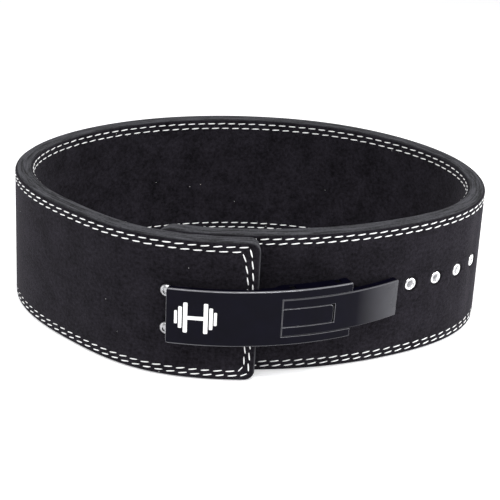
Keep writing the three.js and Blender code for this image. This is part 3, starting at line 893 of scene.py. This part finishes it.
def row_path(top, foot, end, lean, tongue):
    """Corner points of one stitch row, a closed line set in from the strap's outline."""
    high = STRAP_HEIGHT - top
    right = OUTER_END_PAST - end
    radius = TONGUE_CORNER - (top + foot) / 2
    left = tongue - STRAP_LENGTH + radius
    points = [(right - lean, high), (right - lean * 0.25, high - ROW_LEAN_REACH / 2)]
    points += [(right, high - ROW_LEAN_REACH), (right, foot + ROW_FOOT_REACH), (right - lean * 0.2, foot)]
    points += arc(left, foot + radius, radius, radius, 270, 180, 7)
    points += arc(left, high - radius, radius, radius, 180, 90, 7)
    return points


def walk_row(points, pitch):
    """Middle and direction of each stitch along a closed line, evenly spread."""
    closed = np.array(points + points[:1])
    lengths = np.linalg.norm(np.diff(closed, axis=0), axis=1)
    marks = np.concatenate([[0], np.cumsum(lengths)])
    count = round(marks[-1] / pitch)

    def place_at(walked):
        return np.array([np.interp(walked % marks[-1], marks, closed[:, k]) for k in range(2)])

    for k in range(count):
        start, end = (place_at((k + share) * marks[-1] / count) for share in STITCH_SPAN)
        yield (start + end) / 2, end - start


def stitch_shape():
    """One thread loop of unit size: it rises from its hole, lies along the face and dips at its far end."""
    bm = bmesh.new()
    bmesh.ops.create_uvsphere(bm, u_segments=8, v_segments=6, radius=1)
    bmesh.ops.rotate(bm, cent=(0, 0, 0), matrix=Matrix.Rotation(math.pi / 2, 3, "Y"), verts=bm.verts[:])
    for vertex in bm.verts:
        x, y, z = vertex.co
        reach = math.copysign(abs(x) ** STITCH_FULLNESS, x)
        vertex.co = (reach, y, z * STITCH_FLATNESS - abs(reach) ** 3 * STITCH_DIP)
    return as_mesh("stitch", bm)


def stitch_seat(middle, along, settings, slants, above, side, rng):
    """Where one stitch lies in the flat pattern, with a little of the unevenness of real sewing."""
    slant = np.interp(middle[1], (0.2 * STRAP_HEIGHT, 0.8 * STRAP_HEIGHT), slants)
    half = np.linalg.norm(along) / 2 * settings.stitch_share * rng.uniform(*LENGTH_SPREAD)
    width = settings.thread_width / 2 * rng.uniform(*WIDTH_SPREAD)
    turn = math.atan2(along[1], along[0]) + math.radians(slant + rng.uniform(*TURN_SPREAD_DEG))
    lift = above + side * settings.thread_width * STITCH_LIFT
    size = Matrix.Diagonal((half, width, width * side, 1))
    return Matrix.Translation((middle[0], middle[1], lift)) @ Matrix.Rotation(turn, 4, "Z") @ size


def stitched_face(name, rows, pitch, slants, side, settings, finish):
    """Both rows of stitches of the outer face, side 1, or the inner one, side -1."""
    bm = bmesh.new()
    rng = random.Random(name)
    shape = stitch_shape()
    above = 0.0 if side > 0 else -STRAP_THICKNESS
    for row in rows:
        for middle, along in walk_row(row_path(**row), pitch):
            seat = stitch_seat(middle, along, settings, slants, above, side, rng)
            first = len(bm.verts)
            bm.from_mesh(shape)
            bm.verts.ensure_lookup_table()
            for vertex in bm.verts[first:]:
                vertex.co = seat @ vertex.co
    bpy.data.meshes.remove(shape)
    bend(bm, ring_place)
    new_piece(name, bm, finish, (), 80)


# Fittings

def eyelet_outline():
    """Half section of a size eyelet: a tube whose mouth opens like a funnel into a rolled flange."""
    bore, tube, flange = EYELET_BORE / 2, EYELET_TUBE / 2, EYELET_FLANGE / 2
    crest = (bore + flange) / 2
    width = crest - bore
    face = STRAP_THICKNESS / 2
    top = face + EYELET_PROUD
    under = face - EYELET_SUNK
    upper = arc(crest, top - EYELET_FUNNEL, width, EYELET_FUNNEL, 180, 90, 8)
    upper += arc(crest, top - EYELET_ROLL, width, EYELET_ROLL, 75, 0, 6)
    upper += [(flange - EYELET_LIP, under), (tube, under - EYELET_SLOPE)]
    return upper + [(x, -z) for x, z in reversed(upper)]


def screw_outline():
    """Half section of a domed screw with a shallow round recess in its head."""
    head, shaft, recess = SCREW_HEAD / 2, SCREW_SHAFT / 2, SCREW_RECESS / 2
    base = 2 * CLEARANCE + SHEET
    brim, wall, floor = (base + SCREW_HEAD_HEIGHT * level for level in SCREW_RECESS_LEVELS)
    dome = arc(0, base, head, SCREW_HEAD_HEIGHT, 4, 56, 9)
    edge = [(head, base), *dome, (recess, brim), (recess * 0.9, wall)]
    return [(0, -SCREW_SHAFT), (shaft, -SCREW_SHAFT), (shaft, base), *edge, (0, floor)]


def prong_outline():
    """Half section of the hook plate's prong, from the plate down into its size hole."""
    radius = PRONG_DIAMETER / 2
    top = STANDOFF_HOOK - SHEET / 2
    point = [(0, -PRONG_REACH), (radius * PRONG_POINT, -PRONG_REACH), (radius, PRONG_TAPER - PRONG_REACH)]
    return [(0, top), *point, (radius, top)]


def pin_outline():
    """Half section of a pin across the handle, its ends chamfered."""
    half, radius = HANDLE_WIDTH / 2 - PIN_END_GAP, PIN_DIAMETER / 2
    lower = [(0, -half), (radius - PIN_CHAMFER, -half), (radius, PIN_CHAMFER - half)]
    return lower + [(x, -z) for x, z in reversed(lower)]


def turned_piece(name, outline, seat, finish, nodes, steps=40):
    """A round fitting, turned from its half section and set in its seat."""
    bm = bmesh.new()
    lay_turned(bm, outline, steps)
    keep_flat(bm)
    bmesh.ops.transform(bm, matrix=seat, verts=bm.verts[:])
    new_piece(name, bm, finish, nodes, 50)


# Lever pieces

def block(x0, x1, above, below, y0, y1):
    """A block of the flat lever pattern between two heights above its outer face."""
    bm = bmesh.new()
    rectangle(bm, x0, x1, y0, y1, above)
    thicken(bm, above - below)
    cut_stations(bm, x0, x1, STATION_STEP)
    return bm


def pin_hole(x, depth):
    """A cutter across the lever for one of its pins."""
    cutter = bmesh.new()
    made = rod(cutter, PIN_DIAMETER + 2 * CLEARANCE, 2 * HANDLE_WIDTH, 20)
    bmesh.ops.rotate(cutter, cent=(0, 0, 0), matrix=Matrix.Rotation(math.pi / 2, 3, "X"), verts=made)
    bmesh.ops.translate(cutter, vec=(x, 0, -depth), verts=made)
    return cutter


def rimmed_sheet(x0, x1, width, corner, fold, rim_depth, stations):
    """A flat sheet with both long edges folded down; rim_depth gives the fold's depth along x."""
    bm = bmesh.new()
    half = width / 2
    corners = rectangle(bm, x0, x1, -half, half)
    if corner:
        round_corners(bm, [v for v in corners if v.co.x < x0 + SAME_PLACE], corner, 6)
    thicken(bm, SHEET)
    long_edges = [e for e in rim_edges(bm, 0.0) if abs(e.verts[0].co.y - e.verts[1].co.y) < CUT_REACH]
    round_edges(bm, long_edges, fold, 4)
    for y in (half - SHEET, SHEET - half):
        cut_line(bm, (0, y, 0), (0, 1, 0))
    cut_stations(bm, x0, x1, STATION_STEP)
    for x in stations:
        cut_line(bm, (x, 0, 0), (1, 0, 0))
    inner = half - SHEET - SAME_PLACE
    under = [f for f in bm.faces if f.normal.z < -0.9 and abs(f.calc_center_median().y) > inner]
    made = bmesh.ops.extrude_face_region(bm, geom=under)["geom"]
    for vertex in (g for g in made if isinstance(g, bmesh.types.BMVert)):
        vertex.co.z = -max(rim_depth(vertex.co.x), SHEET + 2 * SHORT_EDGE)
    bmesh.ops.delete(bm, geom=under, context="FACES")
    face_outwards(bm)
    return bm


def handle_rim_depth(x):
    """The handle's rims rise from its left end and deepen smoothly into its two ears."""
    start = HANDLE_END - EAR_LENGTH - EAR_RAMP
    t = min(max((x - start) / EAR_RAMP, 0), 1)
    t = t * t * (3 - 2 * t)
    rise = min(max((x - HANDLE_START) / HANDLE_RIM_START, 0), 1)
    return SHEET + (HANDLE_RIM + (EAR_DEPTH - HANDLE_RIM) * t - SHEET) * rise


def handle_mesh():
    """The handle: a rimmed sheet with a slot open to the right and bored ears."""
    cuts = range(EAR_RAMP_CUTS + 1)
    ramp = [HANDLE_END - EAR_LENGTH - EAR_RAMP * k / EAR_RAMP_CUTS for k in cuts]
    bm = rimmed_sheet(
        HANDLE_START, HANDLE_END, HANDLE_WIDTH, HANDLE_CORNER, HANDLE_FOLD, handle_rim_depth, ramp
    )
    half = HOOK_PLATE_WIDTH / 2 + CLEARANCE
    bm = carve(bm, block(SLOT_START, HANDLE_END + SHEET, SHEET, -SHEET - CLEARANCE, -half, half))
    bm = carve(bm, pin_hole(HANDLE_PIN_X, HANDLE_PIN_DEPTH))
    return carve(bm, pin_hole(HOOK_PIN_X, HOOK_PIN_DEPTH))


def hook_rim_depth(x):
    """The hook plate's rims are deep round the pin, shallow in the slot and full beyond it."""
    if x <= PAST_HOOK_PIN:
        return HOOK_RIM_AT_PIN
    return HOOK_RIM_IN_SLOT if x <= HANDLE_END else HOOK_RIM


def hook_plate_mesh():
    """The hook plate: a narrower rimmed sheet with a window and a turned-down tip."""
    steps = [x + step for x in (PAST_HOOK_PIN, HANDLE_END) for step in (0, HOOK_RIM_STEP)]
    bm = rimmed_sheet(
        HOOK_PLATE_START, HOOK_PLATE_END, HOOK_PLATE_WIDTH, 0, HOOK_FOLD, hook_rim_depth, steps
    )
    half = HOOK_PLATE_WIDTH / 2 - JOIN_INSET
    end = HOOK_PLATE_END - JOIN_INSET
    tip = HOOK_TIP_ABOVE_STRAP - strap_under_lever()
    bm = carve(bm, block(HOOK_PLATE_END - SHEET, end, -SHEET / 2, tip, -half, half), "UNION")
    window = CENTRE_TONGUE_WIDTH / 2 + CLEARANCE
    start = HOOK_PLATE_START - SHEET
    bm = carve(bm, block(start, WINDOW_END, SHEET, -SHEET - CLEARANCE, -window, window))
    return carve(bm, pin_hole(HOOK_PIN_X, HOOK_PIN_DEPTH))


def centre_tongue_mesh():
    """The tongue that fills the hook plate's window, on its post."""
    bm = bmesh.new()
    half = CENTRE_TONGUE_WIDTH / 2
    end = WINDOW_END - CENTRE_TONGUE_END_GAP
    corners = rectangle(bm, HOOK_PLATE_START, end, -half, half)
    round_corners(bm, [v for v in corners if v.co.x > end - SAME_PLACE], CENTRE_TONGUE_CORNER, 6)
    thicken(bm, SHEET)
    cut_stations(bm, HOOK_PLATE_START, end, STATION_STEP)
    half = TONGUE_POST_WIDTH / 2
    deck = -BASE_DECK_DEPTH - SHEET / 2
    post = block(PAST_HOOK_PIN, PAST_HOOK_PIN + TONGUE_POST_LENGTH, -SHEET / 2, deck, -half, half)
    return carve(bm, post, "UNION")


def deck_mesh():
    """The part of the base plate that steps down past the strap's end and carries the lugs."""
    half = BASE_WIDTH / 2
    deck_half = HANDLE_WIDTH / 2 - SHEET - 2 * CLEARANCE
    deck_end = BASE_END_GAP + BASE_DECK_LENGTH
    inner = -BASE_DECK_DEPTH - SHEET
    middle = -BASE_DECK_DEPTH - SHEET / 2
    riser_top = SHEET + CLEARANCE - STANDOFF_MIDDLE
    riser_end = BASE_END_GAP + BASE_RISER_LENGTH
    lug_start = deck_end - BASE_LUG_LENGTH
    lug_end = deck_end - JOIN_INSET
    lug_top = -SHEET - 2 * CLEARANCE
    bm = block(BASE_END_GAP, deck_end, -BASE_DECK_DEPTH, inner, -deck_half, deck_half)
    bm = carve(bm, block(BASE_END_GAP + JOIN_INSET, riser_end, riser_top, middle, -half, half), "UNION")
    for low in (deck_half - SHEET, -deck_half):
        y0, y1 = low + JOIN_INSET, low + SHEET - JOIN_INSET
        bm = carve(bm, block(lug_start, lug_end, lug_top, middle, y0, y1), "UNION")
    bm = carve(bm, centre_tongue_mesh(), "UNION")
    return carve(bm, pin_hole(HANDLE_PIN_X, HANDLE_PIN_DEPTH))


def base_strip_mesh():
    """The part of the base plate that lies on the strap's outer end, drawn in the strap's pattern."""
    bm = bmesh.new()
    half = BASE_WIDTH / 2
    left = SCREW_SLIDE - SCREW_FROM_END - BASE_PAST_SCREW
    right = BASE_END_GAP + BASE_RISER_LENGTH / 2
    corners = rectangle(bm, left, right, LEVER_HEIGHT - half, LEVER_HEIGHT + half, CLEARANCE + SHEET)
    round_corners(bm, [v for v in corners if v.co.x < 0], BASE_CORNER, 6)
    thicken(bm, SHEET)
    cut_stations(bm, left, right, STATION_STEP)
    return bm


def sign_mesh(width):
    """A plain barbell of thin rounded bars, drawn in the lever's pattern."""
    middle = HANDLE_START + SIGN_FROM_START
    bars = [(0.0, *SIGN_ROD)]
    for side in (-1, 1):
        bars += [(side * (reach - thick / 2), thick, tall) for reach, thick, tall in SIGN_PLATES]
    bm = bmesh.new()
    for bar in bars:
        x, long, tall = (share * width for share in bar)
        left, right = middle + x - long / 2, middle + x + long / 2
        part = bmesh.new()
        corners = rectangle(part, left, right, -tall / 2, tall / 2, SIGN_FILM)
        round_corners(part, corners, min(long, tall) * SIGN_ROUNDING, 4)
        thicken(part, SIGN_FILM * 1.5)
        cut_stations(part, left, right, SIGN_STEP)
        mesh = as_mesh("bar", part)
        bm.from_mesh(mesh)
        bpy.data.meshes.remove(mesh)
    return bm


# Settings

def colour_setting(name, description, default):
    return bpy.props.FloatVectorProperty(
        name=name, description=description, default=default, subtype="COLOR", size=3, min=0, max=1
    )


def length_setting(name, description, default):
    return bpy.props.FloatProperty(name=name, description=description, default=default, unit="LENGTH")


def share_setting(name, description, default, low=0, high=1):
    return bpy.props.FloatProperty(name=name, description=description, default=default, min=low, max=high)


def light_setting(name, description, default):
    return bpy.props.FloatProperty(name=name, description=description, default=default, min=0)


class StrapSettings(bpy.types.PropertyGroup):
    """Sizes and colours of the strap, its suede and its thread."""

    suede_colour: colour_setting("Suede", "Colour of both suede faces", (0.0086, 0.0077, 0.0102))
    suede_sheen: share_setting("Suede sheen", "How much light the nap catches at the sides", 0.07)
    nap_depth: length_setting("Nap depth", "Depth of the suede's nap", 0.3 * MM)
    # Width of the ring round each eyelet that is pressed down and darkened with painted shade
    pressed_shade_width: length_setting("Pressed ring", "Width of the pressed suede round each eyelet", 2 * MM)
    lint_size: length_setting("Lint", "Width of the specks of lint", 0.7 * MM)
    edge_colour: colour_setting("Edge", "Colour of the cut and dyed edge", (0.034, 0.034, 0.039))
    edge_round: length_setting("Edge round", "Radius of the strap's rounded rims", 1.1 * MM)
    thread_colour: colour_setting("Thread", "Colour of the stitching", (0.92, 0.92, 0.92))
    thread_width: length_setting("Thread width", "Thickness of the thread", 0.92 * MM)
    stitch_share: share_setting("Stitch share", "Length of a stitch as a share of its span", 0.98, 0.5, 1.1)
    twist_pitch: length_setting("Twist", "Length of one turn of the thread's twist", 0.9 * MM)
    outer_pitch: length_setting("Outer stitch", "Stitch length on the outer face", 8.4 * MM)
    inner_pitch: length_setting("Inner stitch", "Stitch length on the inner face", 9.2 * MM)


class MetalSettings(bpy.types.PropertyGroup):
    """Sizes and colours of the buckle, screws and eyelets."""

    coating_colour: colour_setting("Coating", "Colour of the buckle's coating", (0.0015, 0.0013, 0.0048))
    coating_gloss: share_setting("Gloss", "How strongly the coating mirrors light", 0.07)
    coating_roughness: share_setting("Roughness", "How far the coating spreads light", 0.32)
    # Colour of the rubbed steel, which also paints the coating's highlights and the hook tip's reflection
    rubbed_steel_highlight_colour: colour_setting("Worn steel", "Colour of the steel under rubbed coating", (0.5, 0.5, 0.53))
    # Share of the fold rubbing, which also paints a highlight line along the folds
    fold_wear_and_highlight: share_setting("Edge wear", "How far the folds are rubbed bare", 0.55)
    # Share of the edge rubbing, which also paints thin highlight lines along the broken edges
    edge_shine: share_setting("Edge shine", "How far the sheet's broken edges are rubbed bare", 0.34)
    # Strength of the painted reflection that brightens towards the hook's tip
    tip_reflection: share_setting("Tip wear", "How far the hook's tip is rubbed bare", 0.14)
    edge_break: length_setting("Edge break", "Width of the broken edges of the sheet", 0.25 * MM)
    nickel_colour: colour_setting("Nickel", "Colour of the eyelets", (0.86, 0.86, 0.87))
    bore_roughness: share_setting("Bore roughness", "How far the eyelets' bores spread light", 0.8)
    screw_colour: colour_setting("Screws", "Colour of the two screws", (0.42, 0.42, 0.43))
    motif_colour: colour_setting("Motif", "Colour of the plain barbell sign", (0.92, 0.92, 0.92))
    motif_width: length_setting("Motif width", "Length of the plain barbell sign", 28 * MM)


class StageSettings(bpy.types.PropertyGroup):
    """Colours and strengths of the studio."""

    floor_colour: colour_setting("Floor", "Colour of the floor", (0.93, 0.93, 0.94))
    floor_glow: light_setting("Table glow", "Strength of the light through the table", 0.4)
    room_light: light_setting("Room", "Strength of the light from all sides", 0.4)
    sky_light: light_setting("Sky", "Power of the wide light above and behind", 5.5)
    strip_light: light_setting("Strip", "Power of the long narrow light above and in front", 10.0)
    front_light: light_setting("Front", "Power of the light high in front", 7.0)
    side_light: light_setting("Side", "Power of the low lights at both sides", 11.0)


class BeltSettings(bpy.types.PropertyGroup):
    """All settings of the belt."""

    strap: bpy.props.PointerProperty(type=StrapSettings)
    metal: bpy.props.PointerProperty(type=MetalSettings)
    stage: bpy.props.PointerProperty(type=StageSettings)


# Operators

class LEVERBELT_OT_strap(bpy.types.Operator):
    """Build the leather core and the suede on both faces"""

    bl_idname = "lever_belt.strap"
    bl_label = "Strap"

    def execute(self, context):
        settings = context.scene.lever_belt.strap
        leather = leather_finish(settings)
        suede = suede_finish(settings)
        radius = settings.edge_round
        tube = EYELET_TUBE + 2 * CLEARANCE
        flange = EYELET_FLANGE + CLEARANCE
        strap_ply("strap_core", -PLY, CORE_THICKNESS, 0.0, (radius, radius), tube, leather)
        strap_ply("strap_facing_outer", 0.0, PLY, FACING_INSET, (radius, 0), flange, suede)
        inner = -STRAP_THICKNESS + PLY
        strap_ply("strap_facing_inner", inner, PLY, FACING_INSET, (0, radius), flange, suede)
        return {"FINISHED"}


class LEVERBELT_OT_stitching(bpy.types.Operator):
    """Sew both double rows of white thread round both faces"""

    bl_idname = "lever_belt.stitching"
    bl_label = "Stitching"

    def execute(self, context):
        settings = context.scene.lever_belt.strap
        finish = thread_finish(settings)
        sides = (
            ("stitching_outer", OUTER_ROWS, settings.outer_pitch, OUTER_SLANTS_DEG, 1),
            ("stitching_inner", INNER_ROWS, settings.inner_pitch, INNER_SLANTS_DEG, -1),
        )
        for name, rows, pitch, slants, side in sides:
            stitched_face(name, rows, pitch, slants, side, settings, finish)
        return {"FINISHED"}


class LEVERBELT_OT_fittings(bpy.types.Operator):
    """Set the eyelets in the size holes and the two screws in the outer end"""

    bl_idname = "lever_belt.fittings"
    bl_label = "Eyelets and Screws"

    def execute(self, context):
        settings = context.scene.lever_belt.metal
        finish = nickel_finish("bright_nickel", settings.nickel_colour, 0.2, settings.bore_roughness)
        outline = eyelet_outline()
        for index in range(HOLE_COUNT):
            node = f"size_eyelet_{index + 1:02d}"
            seat = strap_seat(hole_x(index), HOLE_HEIGHT, -STRAP_THICKNESS / 2)
            turned_piece(node + "_piece", outline, seat, finish, (node,))
        finish = nickel_finish("dull_nickel", settings.screw_colour, 0.26)
        for node, side in (("screw_upper", 1), ("screw_lower", -1)):
            height = LEVER_HEIGHT + side * SCREW_SPACING / 2 + SCREW_LIFT
            seat = strap_seat(SCREW_SLIDE - SCREW_FROM_END, height)
            turned_piece(node + "_piece", screw_outline(), seat, finish, (node,))
        return {"FINISHED"}


class LEVERBELT_OT_base_plate(bpy.types.Operator):
    """Build the base plate under the handle, with its lugs and the centre tongue"""

    bl_idname = "lever_belt.base_plate"
    bl_label = "Base Plate"

    def execute(self, context):
        settings = context.scene.lever_belt.metal
        # It has no folds, so the rubbed bands and their painted highlights are put past its sides
        finish = coating_finish(settings, HANDLE_WIDTH)
        edges = broken_edge_highlight_finish(settings)
        coated_piece("base_plate_deck", deck_mesh(), lever_place, settings, finish, edges, ("base_plate",))
        coated_piece("base_plate_strip", base_strip_mesh(), strap_place, settings, finish, finish)
        return {"FINISHED"}


class LEVERBELT_OT_handle(bpy.types.Operator):
    """Build the curved handle with its folded rims, its ears and its slot"""

    bl_idname = "lever_belt.handle"
    bl_label = "Handle"

    def execute(self, context):
        settings = context.scene.lever_belt.metal
        finish = coating_finish(settings, HANDLE_WIDTH / 2)
        edges = broken_edge_highlight_finish(settings)
        nodes = ("lever_handle",)
        coated_piece("lever_handle_piece", handle_mesh(), lever_place, settings, finish, edges, nodes)
        return {"FINISHED"}


class LEVERBELT_OT_hook_plate(bpy.types.Operator):
    """Build the hook plate, its turned-down tip and the prong in the size hole"""

    bl_idname = "lever_belt.hook_plate"
    bl_label = "Hook Plate"

    def execute(self, context):
        settings = context.scene.lever_belt.metal
        finish = coating_finish(settings, HOOK_PLATE_WIDTH / 2, HOOK_PLATE_END)
        edges = broken_edge_highlight_finish(settings)
        nodes = ("hook_plate",)
        coated_piece("hook_plate_piece", hook_plate_mesh(), lever_place, settings, finish, edges, nodes)
        seat = strap_seat(HOOK_X, HOLE_HEIGHT)
        turned_piece("hook_prong", prong_outline(), seat, finish, (), 24)
        return {"FINISHED"}


class LEVERBELT_OT_pins(bpy.types.Operator):
    """Build the two pins that join the handle, the base plate and the hook plate"""

    bl_idname = "lever_belt.pins"
    bl_label = "Pins"

    def execute(self, context):
        finish = pin_finish()
        pins = (
            ("handle_pin", HANDLE_PIN_X, HANDLE_PIN_DEPTH),
            ("hook_pin", HOOK_PIN_X, HOOK_PIN_DEPTH),
        )
        for name, x, depth in pins:
            place = lever_place(np.array([[x, 0.0, -depth]]))[0]
            seat = Matrix.Translation(Vector(place))
            turned_piece(name + "_piece", pin_outline(), seat, finish, (name,), 24)
        return {"FINISHED"}


class LEVERBELT_OT_motif(bpy.types.Operator):
    """Print a plain barbell sign on the handle"""

    bl_idname = "lever_belt.motif"
    bl_label = "Barbell Sign"

    def execute(self, context):
        settings = context.scene.lever_belt.metal
        bm = sign_mesh(settings.motif_width)
        bend(bm, lever_place)
        new_piece("barbell_sign", bm, enamel_finish(settings))
        return {"FINISHED"}


class LEVERBELT_OT_stage(bpy.types.Operator):
    """Lay the floor, hang the lights and place the camera"""

    bl_idname = "lever_belt.stage"
    bl_label = "Stage"

    def execute(self, context):
        settings = context.scene.lever_belt.stage
        self.floor(settings)
        self.lights(context, settings)
        self.camera(context)
        context.scene.view_settings.view_transform = "Standard"
        return {"FINISHED"}

    def floor(self, settings):
        bm = bmesh.new()
        bmesh.ops.create_grid(bm, x_segments=1, y_segments=1, size=FLOOR_REACH)
        bmesh.ops.translate(bm, vec=(0, 0, -FLOOR_DROP), verts=bm.verts[:])
        floor = new_object("floor", as_mesh("floor", bm))
        floor.data.materials.append(floor_finish(settings))

    def lights(self, context, settings):
        world = bpy.data.worlds.new("studio")
        world.use_nodes = True
        background = world.node_tree.nodes["Background"]
        background.inputs["Color"].default_value = grey(1.0)
        background.inputs["Strength"].default_value = settings.room_light
        context.scene.world = world
        for name, place, width, depth, power in (
            ("sky_light", (-0.4, 1.5, 1.6), 2.2, 1.6, settings.sky_light),
            ("strip_light", (0.0, -0.6, 1.1), 1.2, 0.08, settings.strip_light),
            ("front_light", (-0.2, -1.5, 1.3), 1.0, 1.0, settings.front_light),
            ("left_light", (-1.1, -0.15, 0.35), 0.8, 0.8, settings.side_light * 0.3),
            ("right_light", (1.1, -0.15, 0.35), 0.8, 0.8, settings.side_light),
        ):
            light = bpy.data.lights.new(name, "AREA")
            light.shape = "RECTANGLE"
            light.size = width
            light.size_y = depth
            light.energy = power
            lamp = new_object(name, light)
            lamp.location = place
            lamp.rotation_euler = (LIGHT_TARGET - Vector(place)).to_track_quat("-Z", "Y").to_euler()

    def camera(self, context):
        camera = new_object("camera", bpy.data.cameras.new("camera"))
        camera.data.lens = CAMERA_LENS
        camera.data.sensor_width = SENSOR_WIDTH
        tilt = Matrix.Rotation(math.radians(90 - CAMERA_DOWN_DEG), 4, "X")
        roll = Matrix.Rotation(math.radians(CAMERA_ROLL_DEG), 4, "Z")
        camera.matrix_world = Matrix.Translation(CAMERA_PLACE) @ tilt @ roll
        context.scene.camera = camera


class LEVERBELT_PT_sidebar(bpy.types.Panel):
    """Settings and steps of the lever belt"""

    bl_idname = "LEVERBELT_PT_sidebar"
    bl_label = "Lever Belt"
    bl_space_type = "VIEW_3D"
    bl_region_type = "UI"
    bl_category = "Lever Belt"

    def draw(self, context):
        settings = context.scene.lever_belt
        for group in (settings.strap, settings.metal, settings.stage):
            box = self.layout.box()
            for name in group.__annotations__:
                box.prop(group, name)
        for step in STEPS:
            self.layout.operator(step.bl_idname)


GROUPS = (StrapSettings, MetalSettings, StageSettings, BeltSettings)
STEPS = (
    LEVERBELT_OT_strap,
    LEVERBELT_OT_stitching,
    LEVERBELT_OT_fittings,
    LEVERBELT_OT_base_plate,
    LEVERBELT_OT_handle,
    LEVERBELT_OT_hook_plate,
    LEVERBELT_OT_pins,
    LEVERBELT_OT_motif,
    LEVERBELT_OT_stage,
)


def register():
    for item in (*GROUPS, *STEPS, LEVERBELT_PT_sidebar):
        bpy.utils.register_class(item)
    bpy.types.Scene.lever_belt = bpy.props.PointerProperty(type=BeltSettings)


def unregister():
    del bpy.types.Scene.lever_belt
    for item in reversed((*GROUPS, *STEPS, LEVERBELT_PT_sidebar)):
        bpy.utils.unregister_class(item)


def main():
    register()
    bpy.ops.lever_belt.strap()
    bpy.ops.lever_belt.stitching()
    bpy.ops.lever_belt.fittings()
    bpy.ops.lever_belt.base_plate()
    bpy.ops.lever_belt.handle()
    bpy.ops.lever_belt.hook_plate()
    bpy.ops.lever_belt.pins()
    bpy.ops.lever_belt.motif()
    bpy.ops.lever_belt.stage()


if __name__ == "__main__":
    main()
